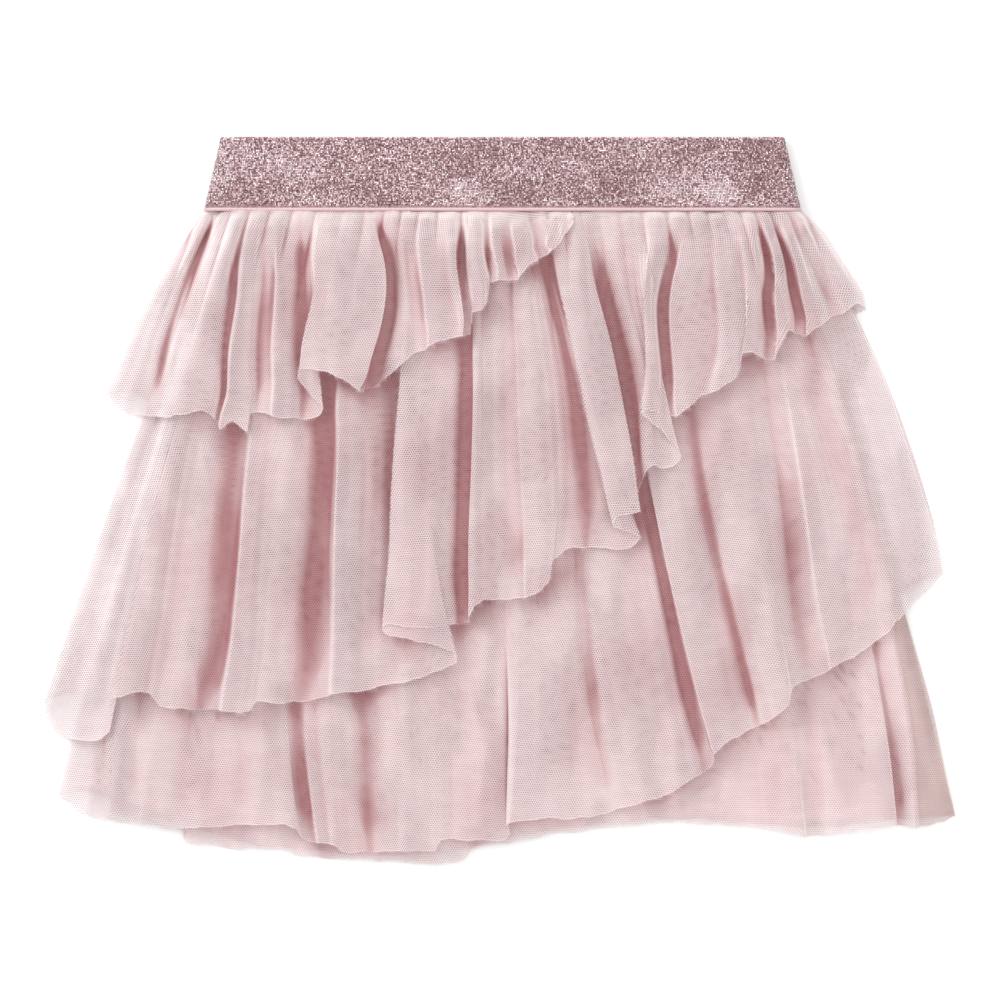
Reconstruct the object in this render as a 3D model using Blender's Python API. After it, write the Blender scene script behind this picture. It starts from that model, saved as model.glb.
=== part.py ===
"""A pull-on skirt of net, laid flat on its back: a wide elastic waistband and four oblique tiers.

Each tier has a front and a back piece. A piece is a wall of cloth whose fold lines run from the waist
seam to the hem, one row of a table for each. The pieces are laid down one by one from the surface
upwards, and each drapes over what already lies there, so no two walls touch.

All tables are in millimetres: x to the right, y towards the waistband, z up from the surface.
"""
from collections import namedtuple

import bpy
import numpy as np

MM = 0.001

# ---------------------------------------------------------------- driving dimensions

WALL = 1.05              # thickness of a ply of net with its body
PLY_GAP = 0.35           # clear space between plies that lie on each other
STEEPEST = 2.8           # how much a wall's upright thickness may grow on a steep flank
FALL = 1.7               # steepest slope of a fold's flank, as height over width

BAND_TOP = 149.2         # y of the waistband's upper edge
BAND_BOTTOM = 118.6      # y of its lower edge, where the tiers leave it
BAND_TOP_HALF = 115.8    # half its width at the upper edge
BAND_BOTTOM_HALF = 122.7 # and at the lower edge
BAND_CENTRE = 1.3        # x of its middle
BAND_TOP_HEIGHT = 7.0    # how thick the folded band lies at the upper edge
BAND_BOTTOM_HEIGHT = 10.6
BAND_TOP_WALL = 2.0      # the elastic with its turned casing
BAND_BOTTOM_WALL = 3.0   # the same where the gathered nets are sewn in

SEAM_Y = 118.2           # y of the tiers' upper edges
NEST = 3.4               # how far each inner tier's edge sits inside the next one at the waist

GATHER = 0.22            # share of a fold's height that it already has at the waist seam
COVERED = 0.14           # share that it keeps while another tier presses on it
OPENING = 0.36           # length of the stretch, as a share of the tier, in which a freed fold opens
HEAD_START = 0.10        # how much of that stretch lies under the covering hem, as a share of the tier
FULLNESS = 1.3           # how far the folds of the net stand up, against the heights in the tables
WIDEST_COLUMN = 7.5      # widest column of faces at the hem
TALLEST_COLUMN = 4.0     # a column that rises more than this, and isn't narrow, is cut in two
NARROW_COLUMN = 5.0      # a column no wider than this is never cut in two
RIM_ANGLE = 0.87         # edges that turn by more than this many radians are shaded sharp

# ---------------------------------------------------------------- fold lines of the front tiers

# waist: x where the line leaves the waist seam; hem_x, hem_y: where it meets the hem;
# lift: its height at the hem over what it lies on; bow: sideways swing half way down.
Fold = namedtuple("Fold", "kind waist hem_x hem_y lift bow")

TIER_1_FRONT = (
    Fold("side", -120.9, -161.5, 43.9, 0.0, -2.5),
    Fold("flare", -118.9, -156.6, 36.5, 2.5, -1.6),
    Fold("pinch", -116.4, -144.7, 34.4, 0.5, 0.0),
    Fold("soft", -112.3, -132.0, 33.6, 4.0, 0.0),
    Fold("soft", -107.4, -119.7, 36.1, 3.5, 0.0),
    Fold("valley", -103.7, -114.4, 29.5, 0.3, 0.0),
    Fold("curl", -100.4, -108.2, 32.4, 3.5, 0.0),
    Fold("curl", -97.2, -102.5, 28.7, 2.5, 0.0),
    Fold("valley", -93.9, -100.4, 35.3, 0.3, -1.2),
    Fold("crest", -89.4, -91.0, 34.0, 4.5, 0.0),
    Fold("valley", -80.8, -86.1, 33.2, 0.3, 0.0),
    Fold("edge", -77.1, -82.0, 33.2, 6.5, 0.0),
    Fold("fold", -74.6, -72.2, 36.5, 7.0, 0.8),
    Fold("fold", -73.0, -70.5, 51.2, 7.0, 1.2),
    Fold("fold", -66.4, -63.5, 48.8, 7.5, 3.3),
    Fold("edge", -57.4, -56.6, 44.7, 7.5, 6.6),
    Fold("valley", -50.8, -50.0, 45.9, 0.3, 6.6),
    Fold("soft", -45.1, -41.8, 54.9, 2.5, 3.3),
    Fold("valley", -37.7, -33.6, 60.3, 1.0, 0.0),
    Fold("crest", -32.8, -29.5, 62.7, 5.0, 0.0),
    Fold("edge", -18.4, -14.8, 67.2, 6.0, 0.0),
    Fold("valley", -14.3, -9.8, 71.3, 0.3, 0.0),
    Fold("crest", -10.7, -5.3, 82.0, 3.5, 0.0),
    Fold("valley", -7.8, -3.7, 89.0, 1.0, 0.0),
    Fold("crest", -4.1, 0.0, 90.2, 4.0, 0.0),
    Fold("valley", 0.0, 3.7, 90.2, 0.8, 0.0),
    Fold("crest", 4.9, 8.6, 91.4, 5.5, 0.0),
    Fold("edge", 9.8, 13.9, 96.8, 5.0, 0.0),
    Fold("valley", 13.9, 17.6, 98.8, 0.5, 0.0),
    Fold("crest", 18.4, 21.7, 102.1, 3.5, 0.0),
    Fold("valley", 21.7, 24.6, 105.4, 0.8, 0.0),
    Fold("crest", 25.0, 27.5, 109.1, 2.5, 0.0),
    Fold("end", 29.5, 30.3, 113.2, 0.0, 0.0),
)

TIER_2_FRONT = (
    Fold("side", -120.1, -187.0, -82.4, 0.0, 0.8),
    Fold("flare", -118.5, -183.7, -93.9, 1.5, 0.0),
    Fold("soft", -116.4, -174.7, -98.8, 3.0, 0.0),
    Fold("soft", -114.4, -165.2, -99.2, 2.0, 0.0),
    Fold("drop", -113.0, -161.5, -95.0, 1.5, 0.0),
    Fold("arch", -109.8, -154.2, -81.6, 5.0, 0.0),
    Fold("arch", -107.6, -149.8, -78.7, 6.0, 0.0),
    Fold("soft", -105.4, -142.3, -80.8, 3.0, 0.0),
    Fold("soft", -102.5, -136.9, -84.5, 1.5, 0.0),
    Fold("valley", -97.6, -125.5, -85.3, 0.2, 0.0),
    Fold("edge", -91.8, -113.2, -86.1, 7.0, 0.0),
    Fold("soft", -88.6, -106.6, -86.1, 5.5, 0.0),
    Fold("soft", -85.3, -99.6, -82.8, 3.5, 0.0),
    Fold("soft", -79.5, -92.2, -82.8, 2.0, 0.0),
    Fold("valley", -66.4, -77.9, -83.2, 0.2, 2.0),
    Fold("edge", -63.1, -68.1, -80.4, 7.5, 0.8),
    Fold("soft", -59.9, -62.3, -78.3, 5.0, 0.0),
    Fold("soft", -53.3, -55.8, -77.5, 3.5, 0.0),
    Fold("valley", -41.0, -51.2, -77.1, 0.8, 0.0),
    Fold("edge", -33.6, -47.6, -76.3, 5.5, 0.0),
    Fold("crest", -28.7, -37.7, -73.8, 5.5, 0.0),
    Fold("soft", -23.8, -27.9, -70.5, 3.0, 0.0),
    Fold("valley", -19.7, -18.0, -67.2, 2.0, 0.0),
    Fold("valley", -15.6, -16.0, -52.5, 0.5, 0.0),
    Fold("edge", -13.1, -11.1, -45.1, 6.5, 0.0),
    Fold("soft", -9.8, -6.6, -41.0, 5.0, 0.0),
    Fold("soft", -4.1, 0.0, -40.6, 3.5, 0.0),
    Fold("valley", 1.2, 6.6, -40.2, 1.2, 0.0),
    Fold("crest", 4.5, 11.5, -38.9, 4.0, 2.5),
    Fold("crest", 7.4, 18.4, -36.1, 5.5, 3.3),
    Fold("soft", 9.0, 20.9, -30.7, 4.5, 3.7),
    Fold("soft", 10.7, 23.4, -21.3, 3.0, 3.7),
    Fold("valley", 13.1, 42.6, -20.1, 0.2, 2.0),
    Fold("edge", 18.4, 47.1, -18.4, 6.5, 0.0),
    Fold("crest", 27.9, 53.3, -20.1, 6.5, 0.0),
    Fold("edge", 37.7, 57.8, -13.1, 5.5, 2.0),
    Fold("pocket", 42.6, 59.9, 9.8, 0.3, 1.6),
    Fold("soft", 46.7, 63.5, 13.9, 2.5, 0.0),
    Fold("tick", 50.8, 67.2, 12.3, 1.5, -1.2),
    Fold("soft", 55.8, 70.5, 13.5, 3.0, -3.3),
    Fold("valley", 61.5, 72.6, 14.8, 0.8, -5.7),
    Fold("crest", 66.4, 74.6, 16.4, 4.0, -7.4),
    Fold("valley", 75.4, 75.8, 35.3, 0.4, -9.0),
    Fold("crest", 79.9, 79.5, 40.6, 4.5, -3.7),
    Fold("dimple", 83.6, 84.5, 43.5, 2.5, -1.2),
    Fold("crest", 88.6, 91.8, 45.5, 5.0, 0.0),
    Fold("crest", 93.5, 97.2, 50.0, 5.5, 0.0),
    Fold("soft", 96.8, 99.2, 59.4, 3.5, 0.0),
    Fold("arch", 99.2, 104.5, 59.9, 4.0, 0.0),
    Fold("valley", 102.5, 110.3, 57.4, 0.2, 0.0),
    Fold("crest", 105.4, 114.4, 61.5, 5.0, 0.0),
    Fold("soft", 107.8, 118.1, 68.9, 4.0, 0.0),
    Fold("valley", 111.5, 123.4, 66.8, 0.6, 0.0),
    Fold("crest", 114.8, 130.4, 70.9, 4.5, 0.0),
    Fold("valley", 118.5, 138.6, 76.7, 1.5, 0.8),
    Fold("crest", 121.8, 145.5, 80.4, 2.5, 1.6),
    Fold("side", 124.2, 150.9, 78.7, 0.0, 2.5),
)

TIER_3_FRONT = (
    Fold("side", -120.1, -181.6, -121.4, 0.0, 0.0),
    Fold("soft", -118.1, -176.3, -123.8, 1.5, 0.0),
    Fold("crest", -115.2, -170.6, -128.3, 3.0, 0.0),
    Fold("valley", -111.5, -159.1, -131.6, 1.5, 0.0),
    Fold("crest", -107.4, -145.5, -133.7, 3.5, 0.0),
    Fold("valley", -103.3, -130.0, -134.9, 2.0, 0.0),
    Fold("crest", -98.4, -115.6, -133.7, 3.5, 0.0),
    Fold("valley", -91.8, -101.7, -133.2, 2.5, 0.0),
    Fold("crest", -86.1, -90.2, -133.2, 3.5, 0.0),
    Fold("edge", -81.2, -82.4, -134.5, 4.5, 0.0),
    Fold("valley", -77.1, -78.3, -138.6, 0.2, 0.0),
    Fold("edge", -73.8, -75.0, -140.6, 4.0, 0.0),
    Fold("soft", -70.5, -68.9, -141.4, 3.0, 0.0),
    Fold("edge", -66.4, -65.6, -144.3, 5.5, 0.0),
    Fold("soft", -61.5, -58.2, -144.7, 4.0, 0.0),
    Fold("valley", -56.6, -47.6, -144.3, 0.6, 0.0),
    Fold("soft", -49.2, -42.2, -144.3, 2.0, 0.0),
    Fold("edge", -41.8, -37.7, -143.9, 5.0, 0.0),
    Fold("soft", -33.6, -25.8, -143.9, 4.0, 0.0),
    Fold("valley", -30.3, -23.4, -139.0, 1.0, 0.0),
    Fold("soft", -22.5, -15.6, -139.0, 0.8, 0.0),
    Fold("crest", -13.1, -6.6, -139.4, 2.5, 0.0),
    Fold("valley", -2.0, 0.8, -139.8, 0.5, 0.0),
    Fold("edge", 2.5, 5.3, -139.4, 6.0, 0.0),
    Fold("fold", 4.9, 9.8, -130.8, 6.0, 0.0),
    Fold("soft", 13.1, 20.5, -130.4, 4.5, 0.0),
    Fold("soft", 19.7, 31.2, -130.0, 4.0, 0.0),
    Fold("valley", 26.2, 41.0, -129.6, 0.2, 0.0),
    Fold("soft", 30.3, 48.4, -127.9, 2.5, 0.0),
    Fold("crest", 34.4, 59.4, -123.8, 5.0, 0.0),
    Fold("soft", 38.9, 73.8, -117.7, 4.0, 0.0),
    Fold("valley", 42.6, 84.5, -112.3, 0.6, 0.0),
    Fold("edge", 45.5, 88.1, -102.1, 6.0, 0.0),
    Fold("soft", 56.6, 97.6, -97.2, 4.5, -1.6),
    Fold("soft", 66.4, 104.5, -93.1, 3.0, -4.1),
    Fold("valley", 75.0, 109.9, -90.6, 0.2, -7.4),
    Fold("crest", 86.9, 117.3, -86.1, 6.0, -3.3),
    Fold("soft", 91.0, 119.7, -76.7, 4.5, -2.5),
    Fold("valley", 100.4, 132.0, -71.3, 0.8, -0.8),
    Fold("crest", 107.4, 142.7, -66.0, 4.5, 0.0),
    Fold("valley", 114.0, 152.9, -58.6, 1.0, 0.0),
    Fold("crest", 119.3, 166.5, -45.5, 3.0, 2.5),
    Fold("soft", 122.6, 176.3, -36.9, 2.0, 4.1),
    Fold("side", 124.2, 182.4, -29.9, 0.0, 5.7),
)

TIER_4_FRONT = (
    Fold("side", -118.9, -159.9, -127.9, 0.0, 0.0),
    Fold("soft", -114.0, -143.5, -132.0, 1.5, 0.0),
    Fold("soft", -109.9, -130.0, -135.3, 2.0, 0.0),
    Fold("edge", -107.4, -128.7, -141.9, 3.0, 0.0),
    Fold("crest", -103.3, -117.7, -141.9, 3.5, 0.0),
    Fold("valley", -100.0, -113.6, -143.1, 0.5, 0.0),
    Fold("crest", -93.5, -100.4, -143.5, 2.0, 0.0),
    Fold("soft", -86.9, -86.5, -143.1, 2.0, 0.0),
    Fold("crest", -83.6, -84.5, -146.4, 3.0, 0.0),
    Fold("valley", -73.0, -69.7, -147.2, 0.5, 0.0),
    Fold("soft", -63.5, -56.6, -147.6, 2.5, 0.0),
    Fold("edge", -52.5, -41.8, -148.4, 3.5, 0.0),
    Fold("crest", -43.0, -32.8, -149.2, 3.5, 0.0),
    Fold("soft", -32.8, -21.7, -149.2, 3.0, 0.0),
    Fold("edge", -26.2, -13.9, -148.0, 3.5, 0.0),
    Fold("valley", -23.8, -11.9, -142.7, 0.8, 0.0),
    Fold("crest", -12.3, 7.0, -140.2, 2.0, 0.0),
    Fold("valley", 2.0, 24.6, -138.2, 1.0, 0.0),
    Fold("soft", 18.4, 45.9, -134.9, 2.0, 0.0),
    Fold("crest", 32.0, 63.5, -132.4, 2.5, 0.0),
    Fold("valley", 36.9, 68.9, -132.4, 0.5, 0.0),
    Fold("crest", 43.0, 75.8, -132.0, 3.0, 0.0),
    Fold("soft", 51.7, 86.9, -132.8, 3.0, 0.0),
    Fold("valley", 66.4, 103.3, -133.2, 1.5, 0.0),
    Fold("crest", 81.2, 116.4, -136.1, 4.0, 2.5),
    Fold("edge", 91.0, 125.5, -137.8, 5.0, 4.9),
    Fold("valley", 96.3, 132.0, -137.8, 0.2, 4.9),
    Fold("soft", 101.7, 140.6, -136.9, 3.5, 4.1),
    Fold("crest", 109.1, 154.2, -133.7, 5.0, 2.5),
    Fold("valley", 115.2, 164.8, -134.1, 0.6, 4.9),
    Fold("soft", 118.1, 170.1, -134.1, 2.5, 3.3),
    Fold("valley", 120.9, 174.7, -133.7, 1.0, 2.0),
    Fold("side", 124.2, 187.4, -130.0, 0.0, 0.0),
)

# ---------------------------------------------------------------- the tiers

# left, right: how many tiers lie outside this one at its two ends of the waist seam; rows: rows of
# faces from the waist to the hem; ridges: creases that stand up in the back piece, which lies flat
# between them.
Tier = namedtuple("Tier", "name folds left right rows ridges back_rows colour roughness")

TIERS = (
    Tier("tier_1", TIER_1_FRONT, 0, 0, 6, 7, 4, (0.78, 0.60, 0.60), 0.62),
    Tier("tier_2", TIER_2_FRONT, 1, 0, 9, 9, 6, (0.74, 0.54, 0.54), 0.62),
    Tier("tier_3", TIER_3_FRONT, 2, 1, 7, 9, 6, (0.72, 0.51, 0.51), 0.62),
    Tier("tier_4", TIER_4_FRONT, 3, 2, 5, 9, 5, (0.70, 0.48, 0.47), 0.62),
)

# The lines of a back piece's ridge. offset: sideways place, as a share of the ridge's stretch of the
# piece; height: share of the ridge's height.
RidgeLine = namedtuple("RidgeLine", "kind offset height")

RIDGE = (
    RidgeLine("foot", -0.24, 0.0),
    RidgeLine("flank", -0.12, 0.5),
    RidgeLine("crest", 0.0, 1.0),
    RidgeLine("flank", 0.12, 0.5),
    RidgeLine("foot", 0.24, 0.0),
)
RIDGE_LIFT = 3.0         # height of the tallest ridge at the hem
RIDGE_UNEVEN = 0.22      # share of that height by which ridges differ either way
RIDGE_SHIFT = 0.14       # how far a ridge sits off the middle of its stretch, as a share of it
BACK_SHORTER = 2.0       # how much higher a back hem lies than the front's
BACK_EVEN = 22.0         # the back hem follows the front's, evened out over this distance either way
SIDE_BLEND = 0.12        # share of the width in which it meets the side seams


def smooth(t):
    """Ease from 0 to 1 with level ends."""
    t = np.clip(t, 0.0, 1.0)
    return t * t * (3.0 - 2.0 * t)


def nested(tier):
    """A tier's fold lines, drawn in at the waist so that it fits inside the tiers around it."""
    left, right = tier.folds[0].waist, tier.folds[-1].waist
    start = TIER_1_FRONT[0].waist + NEST * tier.left
    share = (right - NEST * tier.right - start) / (right - left)
    return tuple(f._replace(waist=start + (f.waist - left) * share) for f in tier.folds)


def hem_height(folds):
    """The hem of a piece as a function that gives its y for any x."""
    points = sorted((f.hem_x, f.hem_y) for f in folds)
    across, down = np.array(points).T
    return lambda x: np.interp(x, across, down, left=SEAM_Y, right=SEAM_Y)


def back_hem(front, share):
    """y of a back piece's hem: the front's, evened out, and joined to the shared side seams."""
    left, right = front[0], front[-1]
    x = left.hem_x + (right.hem_x - left.hem_x) * share
    straight = left.hem_y + (right.hem_y - left.hem_y) * share
    around = np.clip(x + BACK_EVEN * np.linspace(-1.0, 1.0, 9), left.hem_x, right.hem_x)
    even = np.mean(hem_height(front)(around)) + BACK_SHORTER
    inner = smooth(min(share, 1.0 - share) / SIDE_BLEND)
    return straight + (even - straight) * inner


def back_folds(front, count):
    """Fold lines of a back piece: ridges of uneven place and height between the shared side seams."""
    left, right = front[0], front[-1]

    def line(kind, share, lift):
        return Fold(
            kind,
            left.waist + (right.waist - left.waist) * share,
            left.hem_x + (right.hem_x - left.hem_x) * share,
            back_hem(front, share),
            lift,
            left.bow * (1.0 - share) ** 3 + right.bow * share ** 3,
        )

    lines = [left._replace(lift=0.0)]
    for i in range(count):
        middle = (i + 0.5 + RIDGE_SHIFT * np.sin(2.6 * i)) / count
        tall = RIDGE_LIFT * (1.0 - RIDGE_UNEVEN + RIDGE_UNEVEN * np.cos(5.0 * i))
        for part in RIDGE:
            lines.append(line(part.kind, middle + part.offset / count, tall * part.height))
    lines.append(right._replace(lift=0.0))
    return tuple(lines)


def columns(folds):
    """Fold lines with eased lines between them, as arrays of waist, hem_x, hem_y, lift and bow."""
    lines = []
    for here, there in zip(folds, folds[1:]):
        width = np.hypot(there.hem_x - here.hem_x, there.hem_y - here.hem_y)
        steep = abs(there.lift - here.lift) * FULLNESS > TALLEST_COLUMN and width > NARROW_COLUMN
        steps = max(int(np.ceil(width / WIDEST_COLUMN)), 2 if steep else 1)
        for t in np.arange(steps) / steps:
            line = Fold(here.kind, *(a + (b - a) * t for a, b in zip(here[1:], there[1:])))
            lines.append(line._replace(lift=here.lift + (there.lift - here.lift) * smooth(t)))
    lines.append(folds[-1])
    return np.array([line[1:] for line in lines]).T


def plan(folds, rows):
    """Lay the fold lines out in the plane: x, y and the share of the way to the hem, row by row."""
    waist, hem_x, hem_y, lift, bow = columns(folds)
    way = (np.arange(rows + 1) / rows)[:, None]
    x = waist + (hem_x - waist) * way + 4.0 * bow * way * (1.0 - way)
    y = SEAM_Y + (hem_y - SEAM_Y) * way
    return x, y, way + np.zeros_like(x), lift


def opening(x, y, way, cover):
    """How far each point's fold has opened: pressed flat under a cover, full once it is free."""
    if cover is None:
        return GATHER + (1.0 - GATHER) * smooth(way / OPENING)
    free = y < cover(x)
    first_free = way[:, 0][free.argmax(axis=0)]
    start = np.where(free.any(axis=0), first_free, 1.0) - HEAD_START
    return COVERED + (1.0 - COVERED) * smooth((way - np.maximum(start, 0.0)) / OPENING)


# ---------------------------------------------------------------- laying cloth on what lies there

CELL = 0.5               # size of a cell of the height map
HALF_X = 200.0           # the map reaches this far each way across
HALF_Y = 165.0           # and this far up and down

LAY_SAMPLES = (72, 20)   # places on each quad, down and across, that are marked on the map
REST_SAMPLES = (40, 9)   # places on each quad that must clear what lies below
REST_ROUNDS = 80         # most rounds in which points are raised
REST_STEP = 0.8          # share of the missing height that a round gives
REST_SLACK = 0.01        # missing height that is let pass
BRIDGE_ROUNDS = 6
EASE_ROUNDS = 4


def patch_weights(down, across):
    """Weights of a quad's four corners at a lattice of places on its two triangles."""
    t, s = np.meshgrid(np.linspace(0.0, 1.0, down), np.linspace(0.0, 1.0, across), indexing="ij")
    t, s = t.ravel(), s.ravel()
    first = s <= t
    top_left = 1.0 - np.maximum(s, t)
    bottom_left = np.where(first, t - s, 0.0)
    top_right = np.where(first, 0.0, s - t)
    bottom_right = np.minimum(s, t)
    return np.stack([top_left, bottom_left, bottom_right, top_right])


def corners(grid):
    """The four corner values of every quad of a grid, in the order of patch_weights."""
    return np.stack([grid[:-1, :-1], grid[1:, :-1], grid[1:, 1:], grid[:-1, 1:]]).reshape(4, -1)


class Surface:
    """The height of what already lies on the table, kept as a map of small cells."""

    def __init__(self):
        self.height = np.zeros((int(2 * HALF_Y / CELL), int(2 * HALF_X / CELL)))
        self.spread = self.height.copy()

    def cells(self, x, y):
        """Row and column of the cell that holds each point."""
        row = np.clip(((y + HALF_Y) / CELL).astype(int), 0, self.height.shape[0] - 1)
        col = np.clip(((x + HALF_X) / CELL).astype(int), 0, self.height.shape[1] - 1)
        return row, col

    def under(self, x, y):
        """Greatest height in and around each point's cell."""
        return self.spread[self.cells(x, y)]

    def lay(self, x, y, z):
        """Add a piece, given its top face as grids of points."""
        weights = patch_weights(*LAY_SAMPLES)
        px, py, pz = (np.tensordot(corners(g), weights, axes=(0, 0)) for g in (x, y, z))
        np.maximum.at(self.height, self.cells(px, py), pz)
        padded = np.pad(self.height, 1)
        rows, cols = self.height.shape
        shifted = [padded[i:i + rows, j:j + cols] for i in range(3) for j in range(3)]
        self.spread = np.max(shifted, axis=0)


def settle(x, y, z, surface):
    """Raise the points of a wall's underside until no part of it dips into what lies below."""
    weights = patch_weights(*REST_SAMPLES)
    px, py = (np.tensordot(corners(g), weights, axes=(0, 0)) for g in (x, y))
    floor = surface.under(px, py)
    floor = floor + np.where(floor > 0.0, PLY_GAP, 0.0)
    index = corners(np.arange(z.size).reshape(z.shape))
    share = weights / (weights ** 2).sum(axis=0)
    z = z.copy()
    for _ in range(REST_ROUNDS):
        short = floor - np.tensordot(corners(z), weights, axes=(0, 0))
        if short.max() < REST_SLACK:
            break
        raise_by = np.maximum(short, 0.0)[None] * share[:, None, :]
        step = np.zeros(z.size)
        np.maximum.at(step, index.ravel(), raise_by.max(axis=2).ravel())
        z += REST_STEP * step.reshape(z.shape)
    return z


def bridge(z):
    """Let the cloth span hollows: each point rises to the mean of its neighbours, never sinks."""
    sides = slice(None, None, z.shape[1] - 1)
    for _ in range(BRIDGE_ROUNDS):
        across = z.copy()
        across[:, 1:-1] = 0.5 * (z[:, :-2] + z[:, 2:])
        along = z.copy()
        along[1:-1] = 0.5 * (z[:-2] + z[2:])
        z[1:-1, sides] = np.maximum(z, along)[1:-1, sides]
        z[:, 1:-1] = np.maximum(z, 0.5 * (across + along))[:, 1:-1]
    return z


def ease_flanks(x, z):
    """Fill in below flanks that fall too steeply, away from the two side edges."""
    for _ in range(EASE_ROUNDS):
        from_left = z[:, :-2] - FALL * np.abs(x[:, 1:-1] - x[:, :-2])
        from_right = z[:, 2:] - FALL * np.abs(x[:, 2:] - x[:, 1:-1])
        z[:, 1:-1] = np.maximum(z[:, 1:-1], np.maximum(from_left, from_right))
    return z


def upright_thickness(x, y, z):
    """The wall's thickness measured straight up, larger where the cloth stands steep."""
    down = np.stack([np.gradient(g, axis=0) for g in (x, y, z)], axis=-1)
    across = np.stack([np.gradient(g, axis=1) for g in (x, y, z)], axis=-1)
    normal = np.cross(down, across)
    growth = np.linalg.norm(normal, axis=-1) / np.abs(normal[..., 2])
    return WALL * np.minimum(growth, STEEPEST)


def material(name, colour, roughness, metallic=0.0):
    """A plain finish for one sub-part."""
    finish = bpy.data.materials.new(name)
    finish.use_nodes = True
    shader = finish.node_tree.nodes["Principled BSDF"]
    shader.inputs["Base Color"].default_value = (*colour, 1.0)
    shader.inputs["Roughness"].default_value = roughness
    shader.inputs["Metallic"].default_value = metallic
    finish.diffuse_color = (*colour, 1.0)
    return finish


def add_object(name, points, faces, finish):
    """A named piece from points in millimetres, smooth across its folds and sharp at its rims."""
    mesh = bpy.data.meshes.new(name)
    mesh.from_pydata([tuple(p) for p in np.asarray(points) * MM], [], faces)
    mesh.materials.append(finish)
    mesh.shade_smooth()
    mesh.set_sharp_from_angle(angle=RIM_ANGLE)
    piece = bpy.data.objects.new(name, mesh)
    bpy.context.scene.collection.objects.link(piece)
    return piece


def wall(name, x, y, low, high, finish):
    """A closed wall between two grids of heights over the same places."""
    rows, cols = x.shape
    below = np.stack([x, y, low], axis=-1).reshape(-1, 3)
    above = np.stack([x, y, high], axis=-1).reshape(-1, 3)
    lift = rows * cols
    faces = []
    for r in range(rows - 1):
        for c in range(cols - 1):
            a, b, d, e = r * cols + c, (r + 1) * cols + c, (r + 1) * cols + c + 1, r * cols + c + 1
            faces += [(a, d, b), (a, e, d)]
            faces += [(a + lift, b + lift, d + lift), (a + lift, d + lift, e + lift)]
    rim = [(0, c) for c in range(cols - 1)] + [(r, cols - 1) for r in range(rows - 1)]
    rim += [(rows - 1, c) for c in range(cols - 1, 0, -1)] + [(r, 0) for r in range(rows - 1, 0, -1)]
    rim = [r * cols + c for r, c in rim]
    for here, there in zip(rim, rim[1:] + rim[:1]):
        faces += [(here, here + lift, there), (there, here + lift, there + lift)]
    return add_object(name, np.concatenate([below, above]), faces, finish)


def tier_piece(name, folds, rows, finish, surface, cover):
    """Lay one piece of a tier down on what already lies there."""
    x, y, way, lift = plan(folds, rows)
    ground = surface.under(x, y)
    rest = bridge(ground + np.where(ground > 0.0, PLY_GAP, 0.0))
    shaped = rest + FULLNESS * lift * opening(x, y, way, cover)
    low = ease_flanks(x, settle(x, y, shaped, surface))
    high = low + upright_thickness(x, y, low)
    surface.lay(x, y, high)
    return wall(name, x, y, low, high, finish)


# ---------------------------------------------------------------- waistband

BAND_ROWS = 5            # rows of faces from the upper edge to the seam
BAND_STEPS = 16          # columns across each face of the flattened ring
FOLD_STEPS = 6           # columns round each side fold


def band_ring(half_width, height, inset):
    """A flattened ring at one level, as x and z: level faces and half-round side folds."""
    middle = 0.5 * height
    radius = middle - inset
    reach = half_width - middle
    points = []
    for side in (1.0, -1.0):
        for i in range(BAND_STEPS):
            x = reach * (2.0 * i / BAND_STEPS - 1.0)
            points.append((BAND_CENTRE + side * x, middle - side * radius))
        for i in range(FOLD_STEPS):
            angle = np.pi * i / FOLD_STEPS
            x = reach + radius * np.sin(angle)
            points.append((BAND_CENTRE + side * x, middle - side * radius * np.cos(angle)))
    return points


def waistband(finish):
    """The elastic: a ring folded flat, wider and thicker at the seam, its lower face level."""
    rings = []
    for share in np.linspace(0.0, 1.0, BAND_ROWS + 1):
        half = BAND_TOP_HALF + (BAND_BOTTOM_HALF - BAND_TOP_HALF) * share
        height = BAND_TOP_HEIGHT + (BAND_BOTTOM_HEIGHT - BAND_TOP_HEIGHT) * share
        thick = BAND_TOP_WALL + (BAND_BOTTOM_WALL - BAND_TOP_WALL) * share
        y = BAND_TOP + (BAND_BOTTOM - BAND_TOP) * share
        for inset in (0.0, thick):
            rings.append([(x, y, z) for x, z in band_ring(half, height, inset)])
    count = len(rings[0])
    points = [p for ring in rings for p in ring]
    faces = []

    def strip(first, second):
        for i in range(count):
            j = (i + 1) % count
            a, b = first * count + i, first * count + j
            c, d = second * count + j, second * count + i
            faces.extend([(a, c, b), (a, d, c)])

    # Even rings are the outer face and odd ones the inner face, from the upper edge down.
    for row in range(BAND_ROWS):
        strip(2 * row + 2, 2 * row)
        strip(2 * row + 1, 2 * row + 3)
    strip(0, 1)
    strip(2 * BAND_ROWS + 1, 2 * BAND_ROWS)
    return add_object("waistband", points, faces, finish)


def main():
    """The backs are laid from the outermost tier inwards, the fronts from the innermost outwards."""
    for old in list(bpy.data.objects):
        bpy.data.objects.remove(old, do_unlink=True)

    surface = Surface()
    fronts = [nested(tier) for tier in TIERS]
    finishes = [material(tier.name + "_net", tier.colour, tier.roughness) for tier in TIERS]

    for tier, front, finish in zip(TIERS, fronts, finishes):
        back = back_folds(front, tier.ridges)
        tier_piece(tier.name + "_back", back, tier.back_rows, finish, surface, None)

    for k in reversed(range(len(TIERS))):
        cover = hem_height(fronts[k - 1]) if k else None
        tier_piece(TIERS[k].name + "_front", fronts[k], TIERS[k].rows, finishes[k], surface, cover)

    waistband(material("metallic_elastic", (0.44, 0.30, 0.32), 0.38, 0.35))


main()
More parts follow.
